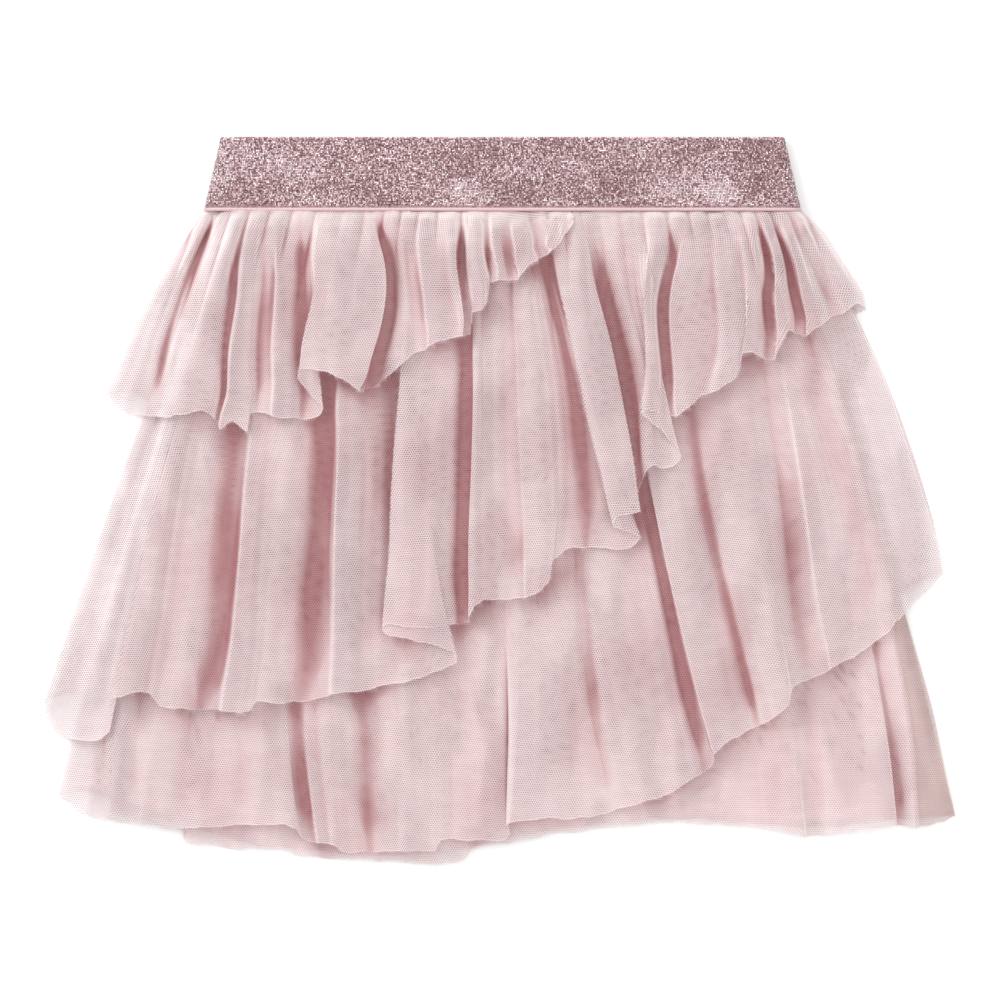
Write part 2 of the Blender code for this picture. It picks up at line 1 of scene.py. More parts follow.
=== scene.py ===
# %% [markdown]
# # A tiered net skirt, laid flat
# The skirt is a pull-on one for a child. Four tiers of soft net, cut obliquely and gathered hard, hang
# from a wide elastic with metallic yarn. Here it lies flat on its back, so each tier is a front piece
# on top and a back piece below.
#
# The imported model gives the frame: its nodes, its box and the one body that everything rides on. Each
# node is a plain wall about a millimetre thick. This script dresses every node with a piece that looks
# like the real cloth, in the same place.

# %% Load the frame
from collections import namedtuple

import bpy
import numpy as np
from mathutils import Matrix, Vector


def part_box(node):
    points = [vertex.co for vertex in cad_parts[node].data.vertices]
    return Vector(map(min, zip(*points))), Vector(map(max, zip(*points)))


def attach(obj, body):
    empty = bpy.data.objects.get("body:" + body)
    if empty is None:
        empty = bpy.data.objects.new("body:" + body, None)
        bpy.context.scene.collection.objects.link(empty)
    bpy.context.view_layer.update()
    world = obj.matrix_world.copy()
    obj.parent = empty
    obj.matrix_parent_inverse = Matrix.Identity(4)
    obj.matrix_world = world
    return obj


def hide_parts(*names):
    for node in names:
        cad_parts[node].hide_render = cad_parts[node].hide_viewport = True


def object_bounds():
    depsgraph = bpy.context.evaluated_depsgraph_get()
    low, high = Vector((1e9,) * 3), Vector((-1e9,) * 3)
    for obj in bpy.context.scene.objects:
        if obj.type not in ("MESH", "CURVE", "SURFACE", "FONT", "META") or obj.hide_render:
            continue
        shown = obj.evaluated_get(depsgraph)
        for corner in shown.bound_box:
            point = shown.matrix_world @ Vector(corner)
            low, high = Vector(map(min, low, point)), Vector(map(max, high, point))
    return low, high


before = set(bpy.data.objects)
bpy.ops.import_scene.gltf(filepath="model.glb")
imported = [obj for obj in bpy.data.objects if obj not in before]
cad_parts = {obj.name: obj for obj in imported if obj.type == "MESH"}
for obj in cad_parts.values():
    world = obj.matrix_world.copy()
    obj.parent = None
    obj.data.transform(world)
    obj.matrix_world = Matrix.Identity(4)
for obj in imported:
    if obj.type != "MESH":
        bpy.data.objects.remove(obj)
cad_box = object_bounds()
scene = bpy.context.scene
MM = 0.001
print("nodes:", sorted(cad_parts))
print("box in mm:", [round((b - a) / MM, 1) for a, b in zip(*cad_box)])

# %% [markdown]
# ## Colour on the screen, floor, light and camera
# A skirt like this is best seen from straight above on a bright table, under large soft lights, so that
# the net glows and the folds have hardly any hard shadow. The standard view transform keeps the
# pale rose as it is. A film-like one would grey it.
#
# The lens is long and the camera far away, which keeps the sides of the folds from leaning outwards.

# %% Stage
FRAME_WIDTH = 0.410        # width of the view, measured at the middle of the cloth
CLOTH_MIDDLE = 0.010
CAMERA_HEIGHT = 2.4
SENSOR = 0.036
ROOM_WHITE = (1.0, 0.99, 0.985, 1.0)
ROOM_STRENGTH = 0.71

scene.view_settings.view_transform = "Standard"


def plain_shader(name, colour, roughness):
    """A new material with one Principled shader, returned with that shader."""
    finish = bpy.data.materials.new(name)
    finish.use_nodes = True
    shader = finish.node_tree.nodes["Principled BSDF"]
    shader.inputs["Base Color"].default_value = (*colour, 1.0)
    shader.inputs["Roughness"].default_value = roughness
    return finish, shader


def make_floor(half=3.0):
    """A pale matt floor, level with the underside of the skirt."""
    mesh = bpy.data.meshes.new("floor")
    mesh.from_pydata([(-half, -half, 0.0), (half, -half, 0.0), (half, half, 0.0), (-half, half, 0.0)], [],
                     [(0, 1, 2, 3)])
    finish, _ = plain_shader("floor_paint", colour=(0.95, 0.95, 0.95), roughness=0.9)
    mesh.materials.append(finish)
    floor = bpy.data.objects.new("floor", mesh)
    scene.collection.objects.link(floor)


def add_lamp(name, place, size, watts):
    """A square soft light at a place, turned towards the skirt."""
    lamp = bpy.data.lights.new(name, "AREA")
    lamp.shape = "SQUARE"
    lamp.size = size
    lamp.energy = watts
    holder = bpy.data.objects.new(name, lamp)
    holder.location = place
    holder.rotation_euler = (-Vector(place)).to_track_quat("-Z", "Y").to_euler()
    scene.collection.objects.link(holder)


def make_camera():
    """Straight above the middle of the skirt's box, with the waistband at the top of the picture."""
    middle = 0.5 * (cad_box[0] + cad_box[1])
    lens = bpy.data.cameras.new("camera")
    lens.sensor_width = SENSOR / MM
    lens.lens = SENSOR / MM * (CAMERA_HEIGHT - CLOTH_MIDDLE) / FRAME_WIDTH
    camera = bpy.data.objects.new("camera", lens)
    camera.location = (middle.x, middle.y, CAMERA_HEIGHT)
    scene.collection.objects.link(camera)
    scene.camera = camera


make_floor()
add_lamp("key_light", place=(-1.1, 0.8, 1.3), size=0.9, watts=17.0)
add_lamp("fill_light", place=(1.2, -0.5, 1.6), size=1.4, watts=7.0)
add_lamp("top_light", place=(0.15, 0.35, 2.7), size=1.4, watts=20.0)
make_camera()

sky = bpy.data.worlds.new("room")
sky.use_nodes = True
sky.node_tree.nodes["Background"].inputs["Color"].default_value = ROOM_WHITE
sky.node_tree.nodes["Background"].inputs["Strength"].default_value = ROOM_STRENGTH
scene.world = sky

# %% [markdown]
# ## Fold lines
# Gathered net falls in folds that start at the waist seam and widen to the hem. A maker can't cut them,
# but they're what the eye reads, so each is one row of a table: where it leaves the waist, where it is
# half way down, where it meets the hem, and how high it stands. The sizes are in millimetres.
#
# A row of the kind "under" or "turn" belongs to a fold that lies over on itself: the cloth runs on under
# the fold, turns back and comes out on top. That is why those rows run backwards along the hem.

# %% Fold tables
Fold = namedtuple("Fold", "kind waist half hem_x hem_y lift")

TIER_1 = (
    Fold("side", -120.9, -144.3, -161.5, 43.9, 0.0),
    Fold("flare", -119.3, -141.4, -158.7, 40.2, 1.5),
    Fold("flare", -117.7, -139.0, -155.0, 36.5, 2.5),
    Fold("flare", -116.0, -136.5, -150.1, 34.9, 1.5),
    Fold("valley", -114.4, -133.7, -144.7, 34.4, 0.4),
    Fold("soft", -112.3, -129.6, -137.3, 33.6, 3.0),
    Fold("soft", -109.9, -124.6, -128.7, 35.3, 3.0),
    Fold("soft", -107.4, -120.1, -120.9, 36.9, 3.5),
    Fold("soft", -105.4, -115.6, -118.1, 34.9, 3.0),
    Fold("deep", -102.9, -109.5, -115.2, 32.4, 0.3),
    Fold("curl", -100.9, -106.6, -114.4, 28.7, 3.5),
    Fold("curl", -99.2, -104.5, -109.5, 32.8, 3.0),
    Fold("curl", -97.6, -102.1, -102.9, 27.9, 3.0),
    Fold("soft", -95.9, -100.0, -102.1, 35.3, 2.0),
    Fold("valley", -93.9, -97.2, -99.6, 35.7, 0.3),
    Fold("crest", -89.4, -91.8, -92.7, 34.0, 4.5),
    Fold("soft", -85.3, -86.9, -86.9, 33.6, 2.5),
    Fold("deep", -80.8, -80.8, -81.2, 33.2, 0.3),
    Fold("under", -78.7, -78.7, -76.7, 33.6, 1.0),
    Fold("under", -77.1, -77.5, -73.4, 34.4, 1.5),
    Fold("under", -75.8, -76.3, -71.8, 37.7, 2.5),
    Fold("turn", -74.6, -75.8, -77.9, 43.9, 4.5),
    Fold("edge", -73.0, -76.7, -82.4, 50.0, 6.5),
    Fold("crest", -70.5, -74.6, -81.6, 53.7, 7.0),
    Fold("crest", -67.2, -69.3, -76.3, 53.3, 7.5),
    Fold("crest", -63.1, -62.3, -69.7, 51.7, 7.5),
    Fold("crest", -59.0, -54.9, -63.5, 49.2, 7.5),
    Fold("edge", -54.9, -46.3, -57.0, 44.7, 7.5),
    Fold("deep", -52.1, -43.9, -51.7, 45.9, 0.3),
    Fold("soft", -47.6, -40.6, -45.1, 51.2, 1.5),
    Fold("soft", -43.0, -38.1, -39.4, 56.6, 2.5),
    Fold("valley", -37.7, -36.1, -34.4, 60.7, 1.0),
    Fold("crest", -33.6, -31.2, -29.5, 62.7, 5.0),
    Fold("crest", -28.7, -26.2, -24.6, 65.2, 4.5),
    Fold("soft", -23.0, -20.9, -19.3, 66.4, 3.0),
    Fold("edge", -18.4, -16.0, -14.8, 67.2, 6.0),
    Fold("valley", -15.2, -12.7, -11.9, 67.2, 0.5),
    Fold("soft", -13.5, -11.5, -11.5, 77.1, 2.5),
    Fold("crest", -10.7, -8.2, -7.0, 77.5, 4.0),
    Fold("soft", -9.0, -6.6, -4.9, 81.6, 3.0),
    Fold("valley", -7.8, -5.7, -4.1, 89.0, 1.0),
    Fold("crest", -4.5, -2.5, -0.8, 89.8, 4.0),
    Fold("soft", -2.5, -0.4, 1.6, 90.2, 2.0),
    Fold("valley", -0.4, 1.6, 3.7, 90.2, 0.6),
    Fold("crest", 4.1, 5.7, 7.8, 90.6, 5.5),
    Fold("crest", 7.8, 9.4, 11.5, 95.5, 5.5),
    Fold("edge", 10.7, 12.3, 15.6, 97.6, 4.0),
    Fold("valley", 13.9, 15.6, 18.0, 99.2, 0.5),
    Fold("crest", 17.2, 18.9, 20.5, 100.9, 3.0),
    Fold("valley", 20.5, 22.1, 23.8, 103.7, 0.8),
    Fold("crest", 23.4, 24.6, 25.8, 107.4, 2.5),
    Fold("soft", 26.2, 27.1, 27.9, 110.3, 1.5),
    Fold("end", 29.5, 29.5, 30.3, 113.2, 0.0),
)

TIER_2 = (
    Fold("side", -112.3, -151.3, -187.0, -82.4, 0.0),
    Fold("flare", -111.1, -148.0, -185.7, -90.6, 1.5),
    Fold("flare", -109.9, -144.7, -181.2, -96.8, 2.0),
    Fold("flare", -108.6, -141.4, -175.1, -98.4, 3.0),
    Fold("flare", -107.4, -137.3, -165.2, -99.2, 2.0),
    Fold("drop", -106.6, -134.9, -159.5, -95.1, 1.5),
    Fold("arch", -106.2, -134.1, -159.1, -81.2, 4.5),
    Fold("arch", -104.5, -129.6, -149.6, -78.7, 6.0),
    Fold("soft", -103.3, -126.3, -143.1, -79.1, 3.0),
    Fold("soft", -101.7, -123.0, -139.4, -84.5, 1.5),
    Fold("crest", -100.0, -118.1, -132.0, -85.3, 2.5),
    Fold("deep", -97.6, -109.1, -123.0, -85.7, 0.2),
    Fold("edge", -92.7, -102.1, -113.6, -86.1, 7.0),
    Fold("soft", -89.4, -97.6, -106.6, -86.5, 6.0),
    Fold("soft", -86.1, -93.9, -102.1, -86.1, 4.0),
    Fold("soft", -82.8, -89.8, -99.2, -82.0, 3.0),
    Fold("crest", -79.5, -84.5, -92.2, -82.8, 3.0),
    Fold("deep", -73.0, -73.8, -80.4, -82.8, 0.2),
    Fold("edge", -68.1, -66.8, -68.5, -79.5, 7.5),
    Fold("soft", -64.0, -61.5, -62.3, -78.7, 5.5),
    Fold("soft", -59.0, -54.9, -55.8, -77.9, 3.5),
    Fold("soft", -54.1, -49.2, -51.2, -77.1, 2.5),
    Fold("soft", -49.2, -45.5, -44.3, -75.8, 1.5),
    Fold("under", -46.3, -43.5, -36.1, -73.4, 1.0),
    Fold("under", -43.9, -41.4, -28.7, -70.9, 1.5),
    Fold("under", -41.8, -34.8, -19.0, -67.6, 2.0),
    Fold("turn", -41.2, -34.0, -17.4, -66.2, 2.5),
    Fold("turn", -40.6, -34.4, -17.8, -62.6, 3.0),
    Fold("turn", -39.8, -37.2, -25.0, -60.2, 4.0),
    Fold("turn", -38.9, -40.2, -36.9, -56.8, 5.0),
    Fold("turn", -37.8, -41.0, -45.9, -54.8, 6.0),
    Fold("edge", -36.9, -41.4, -48.4, -52.2, 6.5),
    Fold("crest", -34.9, -38.9, -46.2, -50.4, 7.0),
    Fold("soft", -30.3, -33.6, -38.9, -51.7, 6.0),
    Fold("soft", -25.4, -27.5, -29.5, -51.7, 4.5),
    Fold("soft", -19.7, -20.5, -21.7, -51.2, 2.5),
    Fold("deep", -13.5, -15.2, -16.4, -50.8, 0.6),
    Fold("edge", -10.7, -11.5, -12.7, -48.4, 5.5),
    Fold("crest", -9.0, -9.4, -10.7, -43.9, 6.5),
    Fold("soft", -7.0, -7.0, -6.6, -41.0, 5.0),
    Fold("soft", -2.5, -1.6, 0.0, -40.6, 3.0),
    Fold("valley", 1.2, 3.3, 6.1, -40.2, 1.2),
    Fold("crest", 3.7, 9.0, 10.7, -39.4, 3.5),
    Fold("crest", 5.3, 16.0, 16.8, -37.3, 5.5),
    Fold("soft", 6.6, 20.1, 20.5, -32.8, 4.5),
    Fold("soft", 7.4, 23.0, 21.7, -24.6, 3.0),
    Fold("soft", 8.2, 25.8, 27.1, -20.1, 1.5),
    Fold("deep", 9.4, 29.9, 36.1, -19.3, 0.3),
    Fold("under", 11.9, 32.0, 45.1, -19.7, 0.8),
    Fold("under", 13.9, 33.6, 53.3, -20.5, 1.2),
    Fold("under", 16.0, 34.9, 58.2, -15.2, 2.0),
    Fold("turn", 17.6, 33.6, 52.9, -12.7, 4.0),
    Fold("edge", 19.7, 31.6, 45.9, -11.1, 6.5),
    Fold("crest", 21.3, 33.6, 47.1, -7.4, 7.0),
    Fold("crest", 24.6, 38.5, 50.0, -6.1, 7.0),
    Fold("crest", 28.7, 43.5, 54.1, -5.3, 6.5),
    Fold("edge", 31.6, 46.7, 57.8, -4.9, 6.0),
    Fold("deep", 34.4, 49.2, 58.2, 8.2, 0.3),
    Fold("soft", 37.3, 52.5, 60.3, 12.7, 1.5),
    Fold("soft", 41.0, 56.2, 63.1, 14.8, 2.5),
    Fold("soft", 45.9, 58.6, 66.0, 12.3, 1.5),
    Fold("under", 50.8, 60.7, 70.5, 13.9, 1.0),
    Fold("under", 54.9, 62.3, 74.6, 17.2, 1.5),
    Fold("turn", 57.8, 61.9, 72.2, 22.1, 2.5),
    Fold("turn", 60.3, 61.1, 65.6, 28.7, 4.0),
    Fold("edge", 62.7, 59.9, 57.4, 34.9, 6.5),
    Fold("crest", 64.4, 61.5, 59.9, 37.3, 6.5),
    Fold("soft", 66.8, 64.0, 64.0, 36.1, 4.5),
    Fold("valley", 76.3, 66.4, 68.5, 34.9, 0.8),
    Fold("crest", 79.1, 70.5, 72.2, 34.0, 4.0),
    Fold("soft", 81.2, 75.4, 76.7, 37.7, 4.5),
    Fold("valley", 83.2, 87.7, 83.2, 43.5, 1.6),
    Fold("crest", 87.7, 92.7, 89.4, 45.1, 5.0),
    Fold("crest", 91.8, 96.8, 94.7, 48.4, 5.5),
    Fold("soft", 95.1, 100.0, 98.0, 51.7, 4.0),
    Fold("edge", 97.2, 101.3, 98.4, 59.9, 5.0),
    Fold("arch", 100.0, 104.5, 103.3, 60.3, 4.5),
    Fold("valley", 104.5, 109.1, 109.9, 57.4, 0.2),
    Fold("crest", 107.0, 111.9, 112.8, 58.2, 4.5),
    Fold("soft", 108.2, 114.0, 115.2, 63.5, 4.0),
    Fold("arch", 109.1, 115.2, 118.1, 69.3, 3.5),
    Fold("valley", 110.3, 117.3, 121.8, 68.1, 0.4),
    Fold("crest", 113.2, 120.9, 125.5, 67.6, 4.5),
    Fold("crest", 115.2, 123.8, 129.6, 70.5, 4.0),
    Fold("valley", 117.7, 127.9, 136.1, 74.6, 0.8),
    Fold("crest", 119.7, 132.4, 141.9, 77.9, 3.0),
    Fold("soft", 121.8, 136.5, 146.8, 80.8, 2.0),
    Fold("side", 123.4, 140.6, 150.9, 78.7, 0.0),
)

TIER_3 = (
    Fold("side", -114.0, -148.4, -181.6, -121.4, 0.0),
    Fold("flare", -112.3, -145.5, -177.9, -122.6, 1.5),
    Fold("flare", -111.1, -143.1, -174.7, -127.5, 2.0),
    Fold("crest", -109.1, -139.8, -168.9, -129.2, 3.0),
    Fold("soft", -106.6, -136.1, -162.8, -130.8, 2.5),
    Fold("valley", -104.1, -132.0, -155.8, -132.0, 1.2),
    Fold("crest", -100.9, -126.3, -146.8, -133.7, 3.5),
    Fold("soft", -97.6, -120.9, -138.6, -134.5, 2.5),
    Fold("valley", -94.3, -115.6, -130.0, -134.9, 1.5),
    Fold("crest", -90.6, -109.9, -121.4, -134.1, 3.5),
    Fold("soft", -87.3, -105.4, -114.0, -133.7, 3.0),
    Fold("valley", -84.0, -100.9, -104.5, -133.2, 1.5),
    Fold("crest", -79.9, -95.1, -93.5, -132.8, 3.5),
    Fold("soft", -77.5, -91.8, -88.1, -133.2, 3.0),
    Fold("edge", -75.4, -89.0, -82.8, -134.5, 4.5),
    Fold("deep", -73.0, -85.3, -78.3, -140.2, 0.3),
    Fold("edge", -70.1, -80.8, -74.6, -140.6, 4.0),
    Fold("soft", -68.1, -77.1, -70.5, -141.0, 3.0),
    Fold("edge", -65.6, -72.6, -66.8, -141.9, 5.5),
    Fold("soft", -63.1, -68.5, -64.4, -144.7, 4.5),
    Fold("soft", -60.7, -64.8, -60.3, -144.3, 3.0),
    Fold("deep", -56.6, -59.0, -52.5, -144.3, 0.6),
    Fold("soft", -52.1, -51.7, -46.7, -144.3, 1.5),
    Fold("soft", -47.6, -44.3, -42.6, -143.9, 2.5),
    Fold("edge", -42.6, -36.9, -38.5, -143.9, 5.0),
    Fold("crest", -38.9, -33.6, -32.8, -143.9, 4.5),
    Fold("soft", -34.9, -29.9, -26.6, -143.5, 3.5),
    Fold("soft", -32.0, -27.9, -24.2, -139.4, 3.0),
    Fold("valley", -28.7, -24.6, -18.0, -139.0, 1.0),
    Fold("soft", -24.6, -19.7, -11.5, -139.4, 1.2),
    Fold("soft", -20.5, -14.8, -6.6, -139.4, 2.0),
    Fold("crest", -15.6, -8.2, -1.6, -139.4, 2.5),
    Fold("soft", -11.5, -3.3, 2.5, -139.4, 2.0),
    Fold("valley", -7.4, 0.8, 4.5, -136.1, 0.4),
    Fold("edge", -2.9, 7.0, 4.1, -131.2, 6.0),
    Fold("crest", 0.0, 9.4, 8.2, -130.8, 6.0),
    Fold("crest", 4.1, 13.5, 13.9, -130.4, 5.5),
    Fold("soft", 8.2, 17.6, 20.5, -130.4, 4.5),
    Fold("soft", 12.3, 21.7, 27.9, -130.4, 3.5),
    Fold("soft", 16.8, 26.2, 36.9, -130.0, 2.0),
    Fold("valley", 21.7, 31.6, 45.9, -127.9, 0.3),
    Fold("soft", 25.8, 36.1, 53.3, -125.9, 2.5),
    Fold("crest", 29.9, 41.8, 60.3, -123.4, 4.5),
    Fold("crest", 33.6, 47.6, 67.2, -120.9, 4.5),
    Fold("soft", 36.9, 52.5, 74.6, -117.3, 3.5),
    Fold("soft", 39.8, 56.6, 80.4, -113.6, 2.5),
    Fold("deep", 42.2, 59.4, 84.5, -111.5, 0.3),
    Fold("edge", 45.5, 61.9, 87.3, -104.1, 6.0),
    Fold("soft", 50.0, 66.0, 91.4, -100.4, 5.0),
    Fold("soft", 55.8, 70.9, 96.3, -97.6, 4.0),
    Fold("soft", 62.3, 76.7, 100.9, -95.1, 2.5),
    Fold("valley", 69.7, 82.8, 106.2, -92.7, 0.3),
    Fold("soft", 75.4, 87.3, 109.9, -91.0, 3.0),
    Fold("crest", 81.2, 94.3, 114.4, -87.3, 5.5),
    Fold("crest", 86.1, 100.0, 118.5, -83.6, 6.0),
    Fold("soft", 90.2, 103.7, 118.9, -79.9, 5.0),
    Fold("soft", 93.5, 106.6, 119.7, -76.7, 3.5),
    Fold("valley", 99.2, 114.0, 128.3, -73.0, 0.6),
    Fold("crest", 104.1, 120.9, 136.1, -68.9, 4.5),
    Fold("soft", 107.4, 127.1, 143.5, -65.2, 2.5),
    Fold("valley", 110.3, 134.5, 154.2, -58.2, 0.6),
    Fold("crest", 114.0, 142.7, 162.4, -50.0, 3.5),
    Fold("flare", 117.3, 149.2, 169.3, -43.0, 2.5),
    Fold("flare", 119.7, 155.0, 176.3, -36.9, 1.5),
    Fold("side", 121.8, 159.9, 182.4, -29.9, 0.0),
)

TIER_4 = (
    Fold("side", -109.9, -144.3, -159.9, -127.9, 0.0),
    Fold("soft", -106.6, -137.3, -143.5, -132.0, 1.5),
    Fold("soft", -103.3, -131.2, -130.4, -135.3, 2.0),
    Fold("edge", -100.9, -126.3, -129.2, -141.4, 3.0),
    Fold("crest", -97.6, -121.4, -122.2, -141.9, 3.5),
    Fold("soft", -95.1, -118.1, -116.8, -141.9, 2.5),
    Fold("valley", -92.7, -114.0, -113.6, -143.1, 0.5),
    Fold("crest", -88.6, -107.4, -106.6, -143.5, 2.5),
    Fold("soft", -84.5, -101.7, -97.6, -143.1, 2.0),
    Fold("soft", -81.2, -96.8, -88.6, -143.1, 2.0),
    Fold("crest", -78.7, -93.5, -85.7, -144.7, 3.0),
    Fold("soft", -76.3, -90.2, -83.6, -146.4, 2.5),
    Fold("deep", -72.2, -82.0, -73.0, -146.8, 0.4),
    Fold("soft", -68.1, -74.6, -65.6, -147.2, 1.5),
    Fold("crest", -63.1, -66.4, -56.6, -147.6, 2.5),
    Fold("soft", -57.4, -57.4, -47.6, -148.4, 2.0),
    Fold("edge", -52.5, -49.2, -38.9, -148.8, 3.5),
    Fold("crest", -47.6, -42.6, -31.2, -149.2, 3.5),
    Fold("soft", -42.6, -36.9, -23.0, -149.2, 3.5),
    Fold("soft", -37.7, -31.2, -16.4, -148.4, 3.0),
    Fold("edge", -32.0, -24.6, -13.1, -146.8, 3.5),
    Fold("valley", -28.7, -21.3, -11.5, -142.7, 0.6),
    Fold("soft", -24.6, -15.6, -4.1, -141.4, 1.5),
    Fold("crest", -18.4, -7.4, 5.7, -140.2, 2.0),
    Fold("soft", -12.3, 0.8, 14.8, -138.2, 1.5),
    Fold("valley", -4.1, 10.7, 24.6, -136.5, 0.8),
    Fold("soft", 4.1, 19.7, 34.9, -135.7, 1.5),
    Fold("crest", 12.3, 29.5, 45.9, -134.5, 2.0),
    Fold("soft", 20.5, 39.4, 57.4, -133.2, 2.0),
    Fold("soft", 28.7, 47.6, 64.8, -132.4, 2.0),
    Fold("valley", 36.1, 54.1, 68.9, -132.4, 0.4),
    Fold("crest", 41.8, 59.9, 75.4, -132.0, 3.0),
    Fold("soft", 50.0, 68.9, 86.1, -133.2, 3.0),
    Fold("soft", 57.4, 77.9, 95.1, -133.7, 2.0),
    Fold("valley", 63.5, 84.0, 103.3, -134.1, 1.2),
    Fold("crest", 70.5, 91.0, 110.7, -134.5, 3.5),
    Fold("soft", 77.1, 98.4, 116.4, -135.7, 3.5),
    Fold("edge", 83.6, 107.4, 125.0, -137.8, 5.0),
    Fold("valley", 88.6, 114.0, 132.0, -137.8, 0.3),
    Fold("soft", 94.3, 119.7, 140.2, -136.9, 3.0),
    Fold("crest", 101.7, 130.3, 152.0, -134.5, 4.5),
    Fold("edge", 107.4, 142.7, 163.2, -133.4, 5.0),
    Fold("deep", 109.1, 144.7, 165.8, -133.7, 0.4),
    Fold("soft", 112.3, 150.1, 169.7, -134.1, 1.2),
    Fold("crest", 114.0, 152.6, 171.4, -134.1, 2.2),
    Fold("past", 115.2, 153.8, 172.6, -134.1, 0.8),
    Fold("past", 117.3, 154.8, 180.4, -132.8, 1.0),
    Fold("past", 119.3, 155.8, 187.4, -130.0, 0.0),
)

# %% [markdown]
# ## The tiers
# All four tiers are sewn into one waist seam, each a little inside the next one out, so that their ends
# don't pile up on one spot. The heights of what lies there come from the frame, so the pieces can't drift
# off their solids.

# %% Tiers
Tier = namedtuple("Tier", "name folds left right front_rows back_rows ridges turn")

TIERS = (
    Tier("tier_1", TIER_1, -120.9, 29.5, 56, 30, 7, 3.0),
    Tier("tier_2", TIER_2, -112.3, 123.4, 110, 70, 9, -4.0),
    Tier("tier_3", TIER_3, -109.5, 120.6, 105, 80, 9, 5.0),
    Tier("tier_4", TIER_4, -107.0, 118.2, 95, 80, 9, -2.0),
)
SEAM_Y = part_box("tier_1_front")[1].y / MM
TUCKED = 1.2               # how far the cloth runs on above the seam, inside the edge of the band
WALL = 1.05                # thickness that a ply takes up in the pile
PLY_GAP = 0.35             # and the air between two plies


def smooth(t):
    """Ease from 0 to 1 with level ends."""
    t = np.clip(t, 0.0, 1.0)
    return t * t * (3.0 - 2.0 * t)


def nested(tier):
    """The tier's fold lines, with the waist drawn in to its own stretch of the seam."""
    first, last = tier.folds[0].waist, tier.folds[-1].waist
    share = (tier.right - tier.left) / (last - first)
    return tuple(f._replace(waist=tier.left + (f.waist - first) * share) for f in tier.folds)


# %% [markdown]
# ## Uneven by hand
# No two gathers are alike, so nearly every measure of the cloth gets a little smooth randomness: the line
# of a cut hem, the height of a fold on its way down, how far it wanders sideways. A few random knots with
# a smooth curve through them give a soft wave. Each use has its own fixed seed, so the same skirt comes
# out each time.

# %% Smooth random waves
def spline_weights(count, bumps):
    """Weights that spread a row of random knots smoothly over this many points."""
    place = np.linspace(0.0, bumps, count)
    base = np.minimum(place.astype(int), bumps - 1)
    t = (place - base)[:, None]
    blend = np.concatenate([(1 - t) ** 3, 3 * t ** 3 - 6 * t ** 2 + 4,
                            -3 * t ** 3 + 3 * t ** 2 + 3 * t + 1, t ** 3], axis=1) / 6.0
    table = np.zeros((count, bumps + 3))
    for k in range(4):
        table[np.arange(count), base + k] = blend[:, k]
    return table


def waves(shape, across, down, rng):
    """A smooth random field from about -1 to 1 over a grid, with this many bumps across and down."""
    across, down = max(int(across), 1), max(int(down), 1)
    knots = rng.uniform(-1.6, 1.6, (down + 3, across + 3))
    return spline_weights(shape[0], down) @ knots @ spline_weights(shape[1], across).T


print("a random wave:", waves((1, 7), 3, 1, np.random.default_rng(0))[0].round(2).tolist())

# %% [markdown]
# ## From fold lines to a sheet
# Between two fold lines the cloth isn't straight. A gather is a soft tube: it leaves the valley steeply
# and rounds off at the crest. Where the crest is an edge, or stands right beside a valley on its left,
# the cloth curls back in under it, so the flank is hollow and the edge throws a thin shadow. The sheet
# gets a column of points for each three quarters of a millimetre of hem.

# %% Columns
STEP = 0.75                # distance between columns at the hem
CLIMB = 0.9                # and the most that the cloth climbs from one to the next
OVERHANG = 0.30            # how far an edge leans over its flank, as a share of its height
LEVEL_VALLEY = 1.3         # a fold lower than this lies on the ply below
EDGE_STEEP = 1.8           # 1 is a straight flank, more keeps the valley level up to the edge
RAGGED = 0.55              # how far a raw hem wanders off its line
RAGGED_LENGTH = 2.6        # and the length of hem over which it does
SHEER = ("side", "flare")  # kinds of fold whose cloth is spread out, so that it is easy to see through
DEEP = ("deep",)           # valleys so deep that they get extra painted shade, for light that has gone through many plies
PAST = ("past",)           # past a side seam, where the back piece comes round and gets painted shade
Columns = namedtuple("Columns", "waist half hem_x hem_y lift curl sheer deep past along")


def rise(t, high_is_edge):
    """Height share from the low line, 0, to the high one, 1."""
    return t ** EDGE_STEEP if high_is_edge else smooth(t)


def ease_corners(values, rounds=2):
    """Round a row of values off without moving its ends."""
    values = np.array(values, float)
    for _ in range(rounds):
        values[1:-1] = 0.25 * values[:-2] + 0.5 * values[1:-1] + 0.25 * values[2:]
    return values


def length_along(*axes):
    """Length run along a line of points, from its start to each of them."""
    steps = np.linalg.norm(np.diff(np.stack(axes), axis=1), axis=0)
    return np.concatenate([[0.0], np.cumsum(steps)])


def looks_of(fold):
    """How far a fold line is sheer, deep and past a side seam, each 0 or 1."""
    return np.array([fold.kind in kinds for kinds in (SHEER, DEEP, PAST)], float)


def between(here, there, step):
    """The columns from one fold line up to the next, as rows of values."""
    width = np.hypot(there.hem_x - here.hem_x, there.hem_y - here.hem_y)
    steps = int(max(np.ceil(width / step), np.ceil(abs(there.lift - here.lift) / CLIMB), 2))
    rising = there.lift > here.lift
    low, high = (here, there) if rising else (there, here)
    crisp = high.kind == "edge" or (high.kind == "crest" and rising and low.kind in ("valley", "deep"))
    leans = crisp and low.lift < LEVEL_VALLEY
    side = 1.0 if high.hem_x > low.hem_x else -1.0
    for t in np.arange(steps) / steps:
        up = t if rising else 1.0 - t
        lift = low.lift + (high.lift - low.lift) * rise(up, leans)
        curl = side * OVERHANG * high.lift * np.sin(np.pi * up) if leans else 0.0
        flat = [a + (b - a) * t for a, b in zip(here[1:5], there[1:5])]
        yield (*flat, lift, curl, *(looks_of(here) * (1.0 - t) + looks_of(there) * t))


